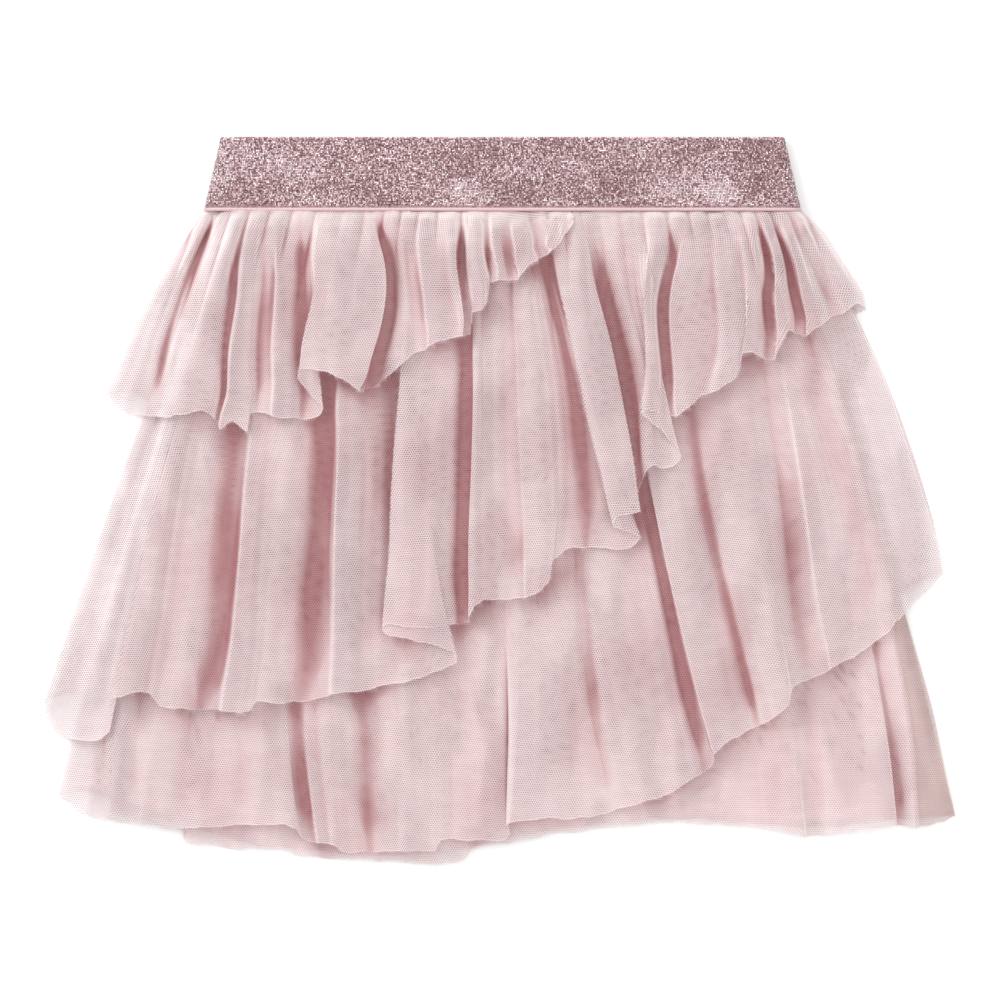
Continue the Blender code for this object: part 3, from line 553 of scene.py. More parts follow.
def columns(folds, step=STEP):
    """The fold lines with the cloth between them, one entry for each column of the sheet."""
    out = [row for here, there in zip(folds, folds[1:]) for row in between(here, there, step)]
    out.append((*folds[-1][1:5], folds[-1].lift, 0.0, *looks_of(folds[-1])))
    waist, half, hem_x, hem_y, lift, curl, sheer, deep, past = np.array(out).T
    waist, half, hem_x, hem_y = (ease_corners(v) for v in (waist, half, hem_x, hem_y))
    along = length_along(hem_x, hem_y)
    rng = np.random.default_rng(len(folds))
    hem_y = hem_y + RAGGED * waves((1, len(hem_y)), along[-1] / RAGGED_LENGTH, 1, rng)[0]
    lift, sheer, deep = ease_corners(lift, 1), ease_corners(sheer, 6), ease_corners(deep, 3)
    return Columns(waist, half, hem_x, hem_y, lift, curl, sheer, deep, past, along)


for tier in TIERS:
    print(tier.name, "has", len(columns(nested(tier)).waist), "columns")

# %% [markdown]
# ## The plan of a sheet
# Each column starts inside the edge of the band and follows a curve through its three places on the
# table down to the hem. Folds of the front get more rows near the hem, where they stand up and turn.

# %% Plan of a sheet
def sheet_plan(cols, rows, crowd=1.0):
    """x, y and the share of the way to the hem, as grids; crowd above 1 gives the hem more rows."""
    way = (1.0 - (1.0 - np.arange(rows + 1) / rows) ** crowd)[:, None]
    swing = cols.half - 0.5 * (cols.waist + cols.hem_x)
    x = cols.waist + (cols.hem_x - cols.waist) * way + 4.0 * swing * way * (1.0 - way)
    y = SEAM_Y + TUCKED + (cols.hem_y - SEAM_Y - TUCKED) * way
    return x, y, way + np.zeros_like(x)


print("points of tier_1's front:", sheet_plan(columns(nested(TIERS[0])), TIERS[0].front_rows)[0].shape)

# %% [markdown]
# ## Lazy waves
# Between the folds, net that has been packed and unpacked is never quite level. Low, long waves run down
# the cloth beside the folds, some stronger than others. They could be a noise on the heights, but a sine
# with a wandering place looks more like cloth, because its crests are round and its creases narrow.

# %% Long waves
WAVE_WIDTH = 14.0          # width of a wave, in millimetres of hem
WAVE_HEIGHT = 0.5
WAVE_WANDER = 0.8          # how far it wanders off its place, against its width
WAVE_ROUND = 0.6           # below 1 a wave is a round tube between sharp creases
MEAN_STRENGTH = 0.65       # of a row of random waves, where 1 is the full height
FLATTENED = 0.25           # share of them that is left under another tier


def strengths(field, swing, most):
    """How strong each wave of a row is, from a random field that swings about the mean."""
    return np.clip(MEAN_STRENGTH + swing * field, 0.0, most)


def long_waves(cols, x, bare, rng):
    """Height of the lazy waves between the folds, in millimetres; a covering tier presses them flat."""
    bumps = cols.along[-1] / WAVE_WIDTH
    place = cols.along / WAVE_WIDTH + WAVE_WANDER * waves(x.shape, 0.45 * bumps, 3, rng)
    tube = np.abs(np.sin(np.pi * place)) ** WAVE_ROUND
    strength = strengths(waves(x.shape, 0.3 * bumps, 4, rng), 0.5, 1.3)
    return WAVE_HEIGHT * tube * strength * (FLATTENED + (1.0 - FLATTENED) * bare)


print("waves in each hem:", [int(columns(tier.folds).along[-1] / WAVE_WIDTH) for tier in TIERS])

# %% [markdown]
# ## A map of the pile
# Eight plies of gathered net can't be simulated in reasonable time and still keep these folds, so they
# are laid as a dressmaker's hand would lay them: from the table upwards, piece by piece. A map of small
# cells keeps the height of what already lies there, which is all that the next ply has to know.

# %% Height map
CELL = 0.5                 # size of a cell of the map
REACH_X = 205.0            # the map goes this far to each side of the middle
REACH_Y = 165.0
SPAN = 5                   # half the width of a hollow that cloth spans, in cells
SOFT = 4                   # how far the surface that it rests on is smoothed, in cells


def widest(grid, cells, pick=np.maximum):
    """The largest (or with np.minimum the smallest) height within some cells of each cell."""
    for axis in (0, 1):
        out = grid.copy()
        for k in range(1, cells + 1):
            out = pick(out, pick(np.roll(grid, k, axis), np.roll(grid, -k, axis)))
        grid = out
    return grid


def blurred(grid, cells, rounds=2):
    """The map with its steps softened."""
    for _ in range(rounds):
        for axis in (0, 1):
            grid = sum(np.roll(grid, k, axis) for k in range(-cells, cells + 1)) / (2 * cells + 1)
    return grid


def height_at(grid, x, y):
    """Heights of a map at points, blended between its cells."""
    row = np.clip((y + REACH_Y) / CELL - 0.5, 0, grid.shape[0] - 2)
    col = np.clip((x + REACH_X) / CELL - 0.5, 0, grid.shape[1] - 2)
    i, j = row.astype(int), col.astype(int)
    s, t = row - i, col - j
    low = grid[i, j] * (1 - t) + grid[i, j + 1] * t
    high = grid[i + 1, j] * (1 - t) + grid[i + 1, j + 1] * t
    return low * (1 - s) + high * s


class Pile:
    """Heights of the plies that have been laid, in millimetres over a map of cells."""

    def __init__(self):
        self.top = np.zeros((int(2 * REACH_Y / CELL), int(2 * REACH_X / CELL)))

    def support(self):
        """A smooth surface for cloth to rest on, nowhere below what lies there."""
        seam = int((SEAM_Y + REACH_Y) / CELL)
        top = self.top.copy()
        top[seam:] = top[seam - 1]
        spanned = widest(widest(top, SPAN), SPAN, np.minimum)
        rest = blurred(spanned, SOFT)
        for _ in range(3):
            rest = rest + blurred(widest(np.maximum(spanned - rest, 0.0), SOFT), SOFT // 2)
        return rest

    def lay(self, x, y, z):
        """Add a ply, given the middle of its thickness."""
        parts = 4
        for s in (np.arange(parts) + 0.5) / parts:
            for t in (np.arange(parts) + 0.5) / parts:
                px, py, pz = (
                    (g[:-1, :-1] * (1 - t) + g[:-1, 1:] * t) * (1 - s)
                    + (g[1:, :-1] * (1 - t) + g[1:, 1:] * t) * s
                    for g in (x, y, z)
                )
                i = np.clip(((py + REACH_Y) / CELL).astype(int), 0, self.top.shape[0] - 1)
                j = np.clip(((px + REACH_X) / CELL).astype(int), 0, self.top.shape[1] - 1)
                np.maximum.at(self.top, (i, j), pz + 0.5 * WALL)


print("the map has", Pile().top.shape, "cells")

# %% [markdown]
# ## Laying one ply
# A ply rests on a smooth surface over the map, which spans the narrow hollows, and adds its own folds to
# it. At the waist seam the folds are pressed nearly flat, and they open on their way down. Where the next
# tier out covers the cloth they stay flat, so a fold only opens fully once its own tier is free.

# %% Laying
GATHER = 0.22              # share of a fold's height at the waist seam
COVERED = 0.14             # share of it under another tier
OPENING = 0.36             # share of the length in which a freed fold opens
HEAD_START = 0.10          # and how far under the covering hem it begins to
MEANDER = 1.4              # how far the folds wander sideways on their way down
MEANDER_WIDE = 16.0        # and the width of cloth that wanders together
FULLNESS = 1.5             # how far the folds stand up, against the heights in the tables
UNEVEN = 0.22              # how much a fold's height varies on its way down
CURL_RUN = 25.0            # length of cloth below the seam in which an edge begins to lean over
COVER_EDGE = 8.0           # width of the strip along a covering hem in which its weight fades out
ON_TABLE = 0.05            # cloth over a lower pile than this lies on the table, with no air under it
Sheet = namedtuple("Sheet", "x y z relief gap sheer deep past")


def hem_of(folds):
    """The visible hem of a tier, as a function that gives its y for any x."""
    points = sorted((f.hem_x, f.hem_y) for f in folds if f.kind not in ("under", "turn"))
    across, down = np.array(points).T
    return lambda x: np.interp(x, across, down, left=SEAM_Y, right=SEAM_Y)


def opening(x, y, way, cover):
    """How far each point's fold has opened: pressed flat under a cover, full once it is free."""
    if cover is None:
        return GATHER + (1.0 - GATHER) * smooth(way / OPENING)
    free = y < cover(x)
    first_free = way[:, 0][free.argmax(axis=0)]
    start = np.where(free.any(axis=0), first_free, 1.0) - HEAD_START
    start = ease_corners(start, 12)
    return COVERED + (1.0 - COVERED) * smooth((way - np.maximum(start, 0.0)) / OPENING)


def lay_sheet(pile, cols, rows, cover, rng, crowd=1.0):
    """Shape one sheet on the pile; the gap is the air between it and the ply below.

    What fades in or out along the way does so by a factor: 3.0, say, takes a third of the way.
    """
    x, y, way = sheet_plan(cols, rows, crowd)
    spread = opening(x, y, way, cover)
    run = np.hypot(cols.hem_x - cols.waist, cols.hem_y - SEAM_Y)
    x = x + cols.curl * spread * smooth(way * run / CURL_RUN)
    wander = waves(x.shape, np.ptp(x[-1]) / MEANDER_WIDE, 5, rng)
    x = x + MEANDER * smooth(way * 3.0) * smooth((1.0 - way) * 6.0) * wander
    bare = np.ones_like(x) if cover is None else smooth((cover(x) - y) / COVER_EDGE + 0.5)
    uneven = 1.0 + UNEVEN * waves(x.shape, 26, 5, rng) * smooth((1.0 - way) * 5.0)
    ground = height_at(pile.support(), x, y)
    relief = FULLNESS * cols.lift * spread
    z = ground + np.where(ground > ON_TABLE, PLY_GAP, 0.0) + 0.5 * WALL + relief * uneven
    z = z + long_waves(cols, x, bare, rng)
    gap = np.maximum(z - 0.5 * WALL - height_at(pile.top, x, y), 0.0)
    pile.lay(x, y, z)
    sheer, deep = cols.sheer * smooth(way * 1.6), cols.deep * bare * smooth(way * 8.0)
    return Sheet(x, y, z, relief, gap, sheer, deep, cols.past)


print("a fold keeps", COVERED, "of its height under a tier and", GATHER, "at the seam")

# %% [markdown]
# ## Back pieces
# The back lies on the table, out of sight, but it's the same cloth. It shares the side seams with its
# front, its hem follows the front's with the small folds evened out, and it has a few low ridges.

# %% Back pieces
RIDGE = (                  # places across a ridge, as shares of its stretch, and its height there
    (-0.24, 0.0),
    (-0.12, 0.5),
    (0.0, 1.0),
    (0.12, 0.5),
    (0.24, 0.0),
)
RIDGE_LIFT = 1.3
RIDGE_UNEVEN = 0.22        # how much the ridges differ in height
RIDGE_SHIFT = 0.14         # and in their distance
TALL_BEAT = 5.0            # radians from ridge to ridge of the wave that makes their heights differ
SHIFT_BEAT = 2.6           # and of the one that shifts them
BACK_SHORTER = 2.0         # the back lies flatter than the front, so its hem ends a little higher up
BACK_EVEN = 22.0           # half the stretch of front hem that the back hem evens out
SIDE_BLEND = 0.12          # share of the width in which the back hem leaves the side seam


def back_hem(front, share):
    """y of a back piece's hem: the front's, evened out, and joined to the shared side seams."""
    left, right = front[0], front[-1]
    x = left.hem_x + (right.hem_x - left.hem_x) * share
    straight = left.hem_y + (right.hem_y - left.hem_y) * share
    around = np.clip(x + BACK_EVEN * np.linspace(-1.0, 1.0, 9), left.hem_x, right.hem_x)
    even = np.mean(hem_of(front)(around)) + BACK_SHORTER
    inner = smooth(min(share, 1.0 - share) / SIDE_BLEND)
    return straight + (even - straight) * inner


def back_folds(front, count):
    """Fold lines of a back piece: low uneven ridges between the side seams that it shares."""
    left, right = front[0], front[-1]
    lines = [left]
    for i in range(count):
        middle = (i + 0.5 + RIDGE_SHIFT * np.sin(SHIFT_BEAT * i)) / count
        tall = RIDGE_LIFT * (1.0 - RIDGE_UNEVEN + RIDGE_UNEVEN * np.cos(TALL_BEAT * i))
        for offset, height in RIDGE:
            share = middle + offset / count
            waist, half, hem_x = (a + (b - a) * share for a, b in zip(left[1:4], right[1:4]))
            lines.append(Fold("soft", waist, half, hem_x, back_hem(front, share), tall * height))
    lines.append(right)
    return tuple(lines)


print("ridges on the backs:", [tier.ridges for tier in TIERS])

# %% [markdown]
# ## All eight plies
# The backs go down first, the outermost tier lowest, and then the fronts from the innermost tier to the
# outermost. Each front is told which hem lies over it.

# %% Lay the pile
BACK_STEP = 2.2            # the backs are hardly seen, so their columns are further apart
HEM_ROWS = 1.15            # the fronts have more rows towards the hem, where the folds stand up
pile = Pile()
sheets = {}
for k, tier in enumerate(TIERS):
    cols = columns(back_folds(nested(tier), tier.ridges), BACK_STEP)
    rng = np.random.default_rng(41 + k)
    sheets[tier.name + "_back"] = lay_sheet(pile, cols, tier.back_rows, None, rng)
for k in reversed(range(len(TIERS))):
    cover = hem_of(nested(TIERS[k - 1])) if k else None
    cols = columns(nested(TIERS[k]))
    sheets[TIERS[k].name + "_front"] = lay_sheet(
        pile, cols, TIERS[k].front_rows, cover, np.random.default_rng(70 + k), HEM_ROWS)
print("highest fold:", round(pile.top.max(), 1), "mm")

# %% [markdown]
# ## Sewn into the band
# At the waist seam all the plies are pressed together and sewn to the elastic, and they puff out again
# just below it. Every height near the seam is scaled by one share, so that no ply passes through another.

# %% Seam
PUFF = 15.0                # distance from the seam at which the plies have puffed out
UNDER_BAND = 0.6           # the pile ends this far below the face of the band
SEAM_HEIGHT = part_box("waistband")[1].z / MM - UNDER_BAND
LOWEST_PILE = 0.6          # a pile lower than this share of it isn't stretched any further
BELOW_SEAM = 3.0           # the pile's height is read this far below the seam
TOPS_SOFT = 5              # and smoothed over this many cells


def tops_at_seam(pile):
    """Height of the pile just below the seam, for each column of the map."""
    return blurred(pile.top, TOPS_SOFT)[int((SEAM_Y - BELOW_SEAM + REACH_Y) / CELL)]


def pressed(sheet, seam_tops):
    """The sheet with its heights scaled at the seam, to bring the top of the pile level with the band."""
    middles = CELL * (np.arange(len(seam_tops)) + 0.5) - REACH_X
    share = SEAM_HEIGHT / np.interp(sheet.x, middles, np.maximum(seam_tops, LOWEST_PILE * SEAM_HEIGHT))
    scale = share + (1.0 - share) * np.sin(0.5 * np.pi * np.clip((SEAM_Y - sheet.y) / PUFF, 0.0, 1.0))
    return sheet._replace(z=sheet.z * scale)


seam_tops = tops_at_seam(pile)
sheets = {name: pressed(sheet, seam_tops) for name, sheet in sheets.items()}
print("pile at the seam:", round(seam_tops.max(), 1), "mm, pressed to", round(SEAM_HEIGHT, 1), "mm")

# %% [markdown]
# ## Gathers at the seam
# The seam draws all the front plies in together, so their small gathers are the same ones. One map of
# gathers is added to every front piece: crisp and close together at the seam, spreading like the folds
# and dying out within a few centimetres, each after its own length.

# %% Gathers at the seam
Gather = namedtuple("Gather", "width height reach seed")
GATHERS = (                # width and height at the seam, and how far down they die out
    Gather(4.0, 0.9, 11.0, 2),
    Gather(8.2, 4.2, 30.0, 6),
)
FAN = 0.0027               # how fast the gathers spread, for each millimetre below the seam
CRISP = 0.85               # below 1 a gather is a round tube between sharp creases
GATHER_WANDER = 0.8        # how far a gather wanders off its place, against its width
SHORTEST = 0.35            # the shortest and the longest gather, against their usual reach
LONGEST = 2.2
AT_SEAM = 0.35             # how far a gather has begun to rise right at the seam
RISE_BELOW = 5.0           # distance from the seam to which it goes on rising
SEAM_POINTS = 600          # places along the seam at which the random values are worked out


def along_seam(places, width, rng):
    """A smooth random value for each place along the seam."""
    values = waves((1, SEAM_POINTS), 2.0 * REACH_X / width, 1, rng)[0]
    return np.interp(places, np.linspace(-REACH_X, REACH_X, SEAM_POINTS), values)


def seam_gathers(sheet):
    """The sheet with the gathers of the waist seam added to its heights."""
    down = np.maximum(SEAM_Y - sheet.y, 0.0)
    place = sheet.x / (1.0 + FAN * down)
    z = sheet.z.copy()
    for gather in GATHERS:
        rng = np.random.default_rng(gather.seed)
        shifted = place + GATHER_WANDER * gather.width * along_seam(place, 3.0 * gather.width, rng)
        tube = np.abs(np.sin(np.pi * shifted / gather.width)) ** CRISP
        strength = strengths(along_seam(place, 1.6 * gather.width, rng), 0.8, 1.4)
        longer = 1.0 + 0.8 * along_seam(place, 1.5 * gather.width, rng)
        reach = gather.reach * np.clip(longer, SHORTEST, LONGEST)
        fade = np.exp(-(down / reach) ** 2) * smooth(AT_SEAM + down / RISE_BELOW) * (down > 0.0)
        z += gather.height * tube * strength * fade
    return sheet._replace(z=z)


sheets = {name: seam_gathers(sheet) if "front" in name else sheet for name, sheet in sheets.items()}
pile.top = np.zeros_like(pile.top)
for sheet in sheets.values():
    pile.lay(*sheet[:3])
print("highest point with its gathers:", round(pile.top.max(), 1), "mm")

# %% [markdown]
# ## What the net has to know
# Each sheet becomes one mesh of four-sided faces. Its map for the net is its own plan, let out by part
# of the length that the folds take up, so the cells keep about their size wherever the cloth goes.
#
# Six measures travel with the mesh, because they decide what net looks like:
# - hollow: how deep a point lies among the folds around it, which sets its painted shade, more so in the
#   valleys that the fold tables call deep, because the light there has gone through rose yarn often;
# - gap: how much air is behind it, so how much painted shade its holes get;
# - crowd: how steeply the cloth stands, where yarns close up, with a painted highlight on those flanks;
# - sheer: how far the cloth is spread out, where it is clearer and gets painted light coming through;
# - past: 1 past a side seam, where the back piece comes round to the front and gets painted shade;
# - edge: the distance to the nearest cut edge, in millimetres.

# %% Measures of a sheet
HOLLOW_WIDE = 5.2          # depth, in millimetres, at which a broad valley gets its fullest painted shade
HOLLOW_NEAR = 1.8          # the same for a narrow pleat
NEAR_LEAST = 0.15          # a narrow pleat less deep than this doesn't count
AROUND = 16                # how far the pile around a point is averaged, in cells
HOLLOW_DEEP = 0.45         # painted shade that a deep valley adds of its own
NEAR_MOST = 0.35           # the most that a narrow pleat adds
CROWDED = 1.4              # cloth over table, less one, at which the yarns are as close as they get
NEAR_REACH = 2.6           # how far to either side a pleat is compared with the cloth around it
COVERED_HOLLOW = 0.22      # painted shade of a covered ply, seen through the net in light that the net lets past
GAP_DEEP = 7.0             # air behind the cloth, in millimetres, at which its holes get the darkest painted shade
LET_OUT = 0.35             # share of the folds' extra length that the map of the net is let out by


def points_of(sheet):
    """The points of a sheet or of a ring of the band, from its first three fields."""
    return np.stack(sheet[:3], axis=-1)


def height_nearby(sheet, reach):
    """Mean height of the cloth within a reach to either side, row by row."""
    out = np.empty_like(sheet.z)
    for k, (x, y, z) in enumerate(zip(*sheet[:3])):
        along = length_along(x, y)
        area = np.concatenate([[0.0], np.cumsum(0.5 * (z[1:] + z[:-1]) * np.diff(along))])
        low, high = (np.clip(along + side * reach, 0.0, along[-1]) for side in (-1.0, 1.0))
        strip = np.interp(high, along, area) - np.interp(low, along, area)
        out[k] = strip / np.maximum(high - low, 1e-6)
    return out


def let_out(sheet):
    """x with part of the extra length that the folds take up, so that no cell is drawn out on a flank."""
    flat = np.hypot(np.diff(sheet.x, axis=1), np.diff(sheet.y, axis=1))
    extra = LET_OUT * (np.hypot(flat, np.diff(sheet.relief, axis=1)) - flat)
    extra = np.concatenate([np.zeros_like(sheet.x[:, :1]), np.cumsum(extra, axis=1)], axis=1)
    return sheet.x + extra - extra[:, extra.shape[1] // 2][:, None]


def steepness(sheet):
    """How much more cloth than table there is at each point."""
    points = points_of(sheet)
    normal = np.cross(np.gradient(points, axis=0), np.gradient(points, axis=1))
    level = np.abs(normal[..., 2]) / np.maximum(np.linalg.norm(normal, axis=-1), 1e-9)
    return 1.0 / np.maximum(level, 0.1) - 1.0


def to_edge(sheet):
    """Distance to the nearest of the hem and the two sides."""
    points = points_of(sheet)
    down = np.linalg.norm(np.diff(points, axis=0), axis=-1)
    to_hem = np.concatenate([np.cumsum(down[::-1], axis=0)[::-1], np.zeros_like(down[:1])])
    sides = [np.linalg.norm(points - points[:, [k]], axis=-1) for k in (0, -1)]
    return np.minimum(to_hem, np.minimum(*sides))


def measures_of(sheet):
    """The six measures of each point, by name."""
    wide = height_at(blurred(pile.top, AROUND), sheet.x, sheet.y) - 0.5 * WALL - sheet.z
    near = height_nearby(sheet, NEAR_REACH) - sheet.z
    covered = np.clip(height_at(pile.top, sheet.x, sheet.y) - 1.5 * WALL - sheet.z, 0.0, 1.0)
    # hollow is the painted shade among the folds: deeper in a valley, fixed under a covering ply, more in
    # deep valleys
    hollow = np.clip(wide / HOLLOW_WIDE, 0.0, 1.0) * (1.0 - covered) + COVERED_HOLLOW * covered
    hollow = hollow + np.clip((near - NEAR_LEAST) / HOLLOW_NEAR, 0.0, NEAR_MOST)
    hollow = hollow + HOLLOW_DEEP * sheet.deep
    return {
        "hollow": hollow,
        "gap": np.clip(sheet.gap / GAP_DEEP, 0.0, 1.0),
        "crowd": np.clip(steepness(sheet) / CROWDED, 0.0, 1.0),
        "sheer": sheet.sheer,
        "past": sheet.past,
        "edge": to_edge(sheet),
    }


measured = {name: measures_of(sheet) for name, sheet in sheets.items()}
for name, values in measured.items():
    print(name, {label: round(float(np.mean(values[label])), 2) for label in ("hollow", "gap", "crowd")})

# %% [markdown]
# ## The mesh of a sheet
# The grid of points is already in order, so the faces are counted off rather than found, and each
# measure goes in as one number for each point. The net's map is kept in metres, the unit of its pattern,
# and is bent a little here and there, since handling never leaves the rows of a net quite straight.

# %% Meshes
BENT = 0.65                # how far the rows of the net are bent, and over what width
BENT_WIDE = 13.0


def make_sheet(name, sheet):
    """One sheet of cloth as an object at the origin."""
    rows, cols = sheet.x.shape
    index = np.arange(rows * cols).reshape(rows, cols)
    quads = np.stack([index[:-1, :-1], index[1:, :-1], index[1:, 1:], index[:-1, 1:]], axis=-1)
    quads = quads.reshape(-1, 4)
    mesh = bpy.data.meshes.new(name + "_cloth")
    mesh.vertices.add(rows * cols)
    mesh.vertices.foreach_set("co", (points_of(sheet) * MM).ravel())
    mesh.loops.add(quads.size)
    mesh.loops.foreach_set("vertex_index", quads.ravel())
    mesh.polygons.add(len(quads))
    mesh.polygons.foreach_set("loop_start", np.arange(len(quads)) * 4)
    mesh.update(calc_edges=True)
    mesh.shade_smooth()

    rng = np.random.default_rng(len(quads))
    bent = [BENT * waves(sheet.x.shape, np.ptp(sheet.x) / BENT_WIDE, np.ptp(sheet.y) / BENT_WIDE, rng)
            for _ in range(2)]
    uv = np.stack([(let_out(sheet) + bent[0]).ravel(), (bent[1] - sheet.y).ravel()], axis=-1) * MM
    mesh.uv_layers.new(name="net").data.foreach_set("uv", uv[quads.ravel()].ravel())

    for label, values in measured[name].items():
        layer = mesh.attributes.new(label, "FLOAT", "POINT")
        layer.data.foreach_set("value", (values + np.zeros_like(sheet.x)).ravel())
    piece = bpy.data.objects.new(name + "_cloth", mesh)
    scene.collection.objects.link(piece)
    return piece


pieces = {name: make_sheet(name, sheet) for name, sheet in sheets.items()}
for name, piece in pieces.items():
    area = sum(p.area for p in piece.data.polygons)
    print(name, 2 * len(piece.data.polygons), "triangles", round(area, 4), "m2")

# %% [markdown]
# ## Helpers for finishes
# A finish is a tree of nodes. A few short helpers keep the trees readable: one adds a node, one links or
# sets an input, and the others are the few kinds of node that the finishes here need.

# %% Helpers for node trees
YARN_RELIEF = 0.0002       # how far yarn stands up from what lies between, in metres


def add_node(tree, kind, **settings):
    """A new node with these settings."""
    node = tree.nodes.new(kind)
    for key, value in settings.items():
        setattr(node, key, value)
    return node


def feed(tree, socket, value):
    """Link a socket to another one, or set it to a plain value."""
    if isinstance(value, bpy.types.NodeSocket):
        tree.links.new(value, socket)
    elif value is not None:
        socket.default_value = value


def maths(tree, operation, a, b=None, c=None, clamp=False):
    """A math node; each input is a socket or a number."""
    node = add_node(tree, "ShaderNodeMath", operation=operation, use_clamp=clamp)
    for socket, value in zip(node.inputs, (a, b, c)):
        feed(tree, socket, value)
    return node.outputs[0]


def remap(tree, value, low, high, to_low=0.0, to_high=1.0, soft=False):
    """Spread a range of values over another range."""
    node = add_node(tree, "ShaderNodeMapRange", interpolation_type="SMOOTHSTEP" if soft else "LINEAR")
    for name, number in zip(("Value", "From Min", "From Max", "To Min", "To Max"),
                            (value, low, high, to_low, to_high)):
        feed(tree, node.inputs[name], number)
    return node.outputs["Result"]


def blend(tree, factor, a, b, mode="MIX"):
    """Mix two colours."""
    node = add_node(tree, "ShaderNodeMix", data_type="RGBA", blend_type=mode)
    feed(tree, node.inputs["Factor"], factor)
    for name, colour in (("A", a), ("B", b)):
        feed(tree, node.inputs[name], (*colour, 1.0) if isinstance(colour, tuple) else colour)
    return node.outputs["Result"]


def noise(tree, place, scale, detail=2.0, stretch=(1.0, 1.0, 1.0), on_map=False):
    """A soft random value through space, or quicker, on a flat map of the surface."""
    mapping = add_node(tree, "ShaderNodeMapping")
    mapping.inputs["Scale"].default_value = stretch
    tree.links.new(place, mapping.inputs["Vector"])
    node = add_node(tree, "ShaderNodeTexNoise", noise_dimensions="2D" if on_map else "3D")
    node.inputs["Scale"].default_value = scale
    node.inputs["Detail"].default_value = detail
    tree.links.new(mapping.outputs[0], node.inputs["Vector"])
    return node.outputs["Fac"]


def measure(tree, name):
    """A number that the mesh carries at each of its points."""
    return add_node(tree, "ShaderNodeAttribute", attribute_name=name).outputs["Fac"]


def place_on(tree):
    """The place on the piece, for a pattern that runs through space."""
    return add_node(tree, "ShaderNodeTexCoord").outputs["Object"]


def raise_yarn(tree, shader, height, strength):
    """Let the light show how high the yarn stands, without any faces for it."""
    relief = add_node(tree, "ShaderNodeBump")
    relief.inputs["Strength"].default_value = strength
    relief.inputs["Distance"].default_value = YARN_RELIEF
    tree.links.new(height, relief.inputs["Height"])
    tree.links.new(relief.outputs["Normal"], shader.inputs["Normal"])


print("helpers: add_node, feed, maths, remap, blend, noise, measure, place_on, raise_yarn")

# %% [markdown]
# ## The holes of the net
# Tulle is knitted in six-sided cells about a millimetre wide. Three waves, sixty degrees apart, add up
# to just such a pattern: where their sum is high there is a hole. Real holes would need millions of
# faces, so the pattern goes into the opacity instead.

# %% Net pattern
CELL_PITCH = 0.00098       # width of a cell of the net, in metres
HOLE_RIM = (-0.6, 0.5)     # sums of the three waves at which the yarn ends and the open hole begins


def net_holes(tree, uv, turn):
    """1 in the holes of the net and 0 on its yarn."""
    size = 4.0 * np.pi / (np.sqrt(3.0) * CELL_PITCH)
    total = 0.0
    for angle in (90.0, 210.0, 330.0):
        direction = np.radians(angle + turn)
        dot = add_node(tree, "ShaderNodeVectorMath", operation="DOT_PRODUCT")
        tree.links.new(uv, dot.inputs[0])
        dot.inputs[1].default_value = (size * np.cos(direction), size * np.sin(direction), 0.0)
        total = maths(tree, "ADD", maths(tree, "COSINE", dot.outputs["Value"]), total)
    return remap(tree, total, *HOLE_RIM, soft=True)


print("net cells per centimetre:", round(0.01 / CELL_PITCH, 1))

# %% [markdown]
# ## Rose and dots
# The yarn itself is pale. Net only looks rose where light has gone from ply to ply, so the rose is painted
# shade that comes from the measures that the mesh carries and not from one colour for each tier. The same
# measures give the painted shade in the holes, with soft random spots where the net below happens to
# show through them.

# %% Rose and dots
PATCHES = 42.0                     # how fine the random patches of more and less painted shade are
SPOTS = 60.0                       # the spots in which the net below shows as dark dots of painted shade
STREAKS = 260.0                    # and the streaks of fuller yarn


def net_fold_shade(tree, uv, seen):
    """How much painted shade the cloth gets: by its depth among the folds, in soft random patches, less where
    spread.
    """
    patches = noise(tree, uv, PATCHES, 2.0, (1.0, 0.5, 1.0), on_map=True)
    depth = maths(tree, "MULTIPLY_ADD", maths(tree, "SUBTRACT", patches, 0.5), 0.9, seen["hollow"])
    return maths(tree, "MULTIPLY_ADD", seen["sheer"], -0.7, depth, clamp=True)


def net_dots(tree, uv, seen, depth):
    """Painted shade in the holes: more in spots, over air and in deep folds, less in streaks of yarn."""
    spots = noise(tree, uv, SPOTS, 1.0, (1.0, 0.35, 1.0), on_map=True)
    streaks = noise(tree, uv, STREAKS, 1.0, (0.30, 1.0, 1.0), on_map=True)
    hole_shade = remap(tree, spots, 0.40, 0.66, 0.12, 0.85, soft=True)
    hole_shade = maths(tree, "MULTIPLY_ADD", seen["gap"], 0.50, hole_shade)
    hole_shade = maths(tree, "ADD", hole_shade, remap(tree, depth, 0.40, 1.0, 0.0, 0.75))
    return maths(tree, "MULTIPLY", hole_shade, remap(tree, streaks, 0.35, 0.6, 0.72, 1.05), clamp=True)


print("fineness of patches, spots and streaks:", PATCHES, SPOTS, STREAKS)

# %% [markdown]
# ## Clear and tinted
# The holes are clear in the opacity and also carry painted shade in the colour, since a hole over a deep
# fold shows dark rose in shade and a hole over the next ply hardly shows at all.

# %% Clear and tinted
YARN = (0.84, 0.70, 0.71)          # net on a crest, lying over other plies
LIT_THROUGH_YARN = (0.86, 0.78, 0.79)   # painted light: paler yarn where the cloth is spread and light comes through it
EDGE_HIGHLIGHT_YARN = (0.94, 0.84, 0.84)     # painted highlight where yarns crowd together on the steep side of a crest
SHADED_ROSE = (0.76, 0.56, 0.57)          # painted shade of cloth in a hollow
DEEP_SHADED_ROSE = (0.44, 0.165, 0.175)   # and the darker painted shade at the bottom of a deep one
PAST_SEAM_SHADE = (0.58, 0.45, 0.42)     # painted shade on the back piece past a side seam, duller and browner
HOLE_NEAR_SHADE = (0.97, 0.95, 0.955)    # painted shade that a hole gives the colour over the next ply, barely any
HOLE_DEEP_SHADE = (0.36, 0.25, 0.275)    # and the dark painted shade of a hole over a deep fold
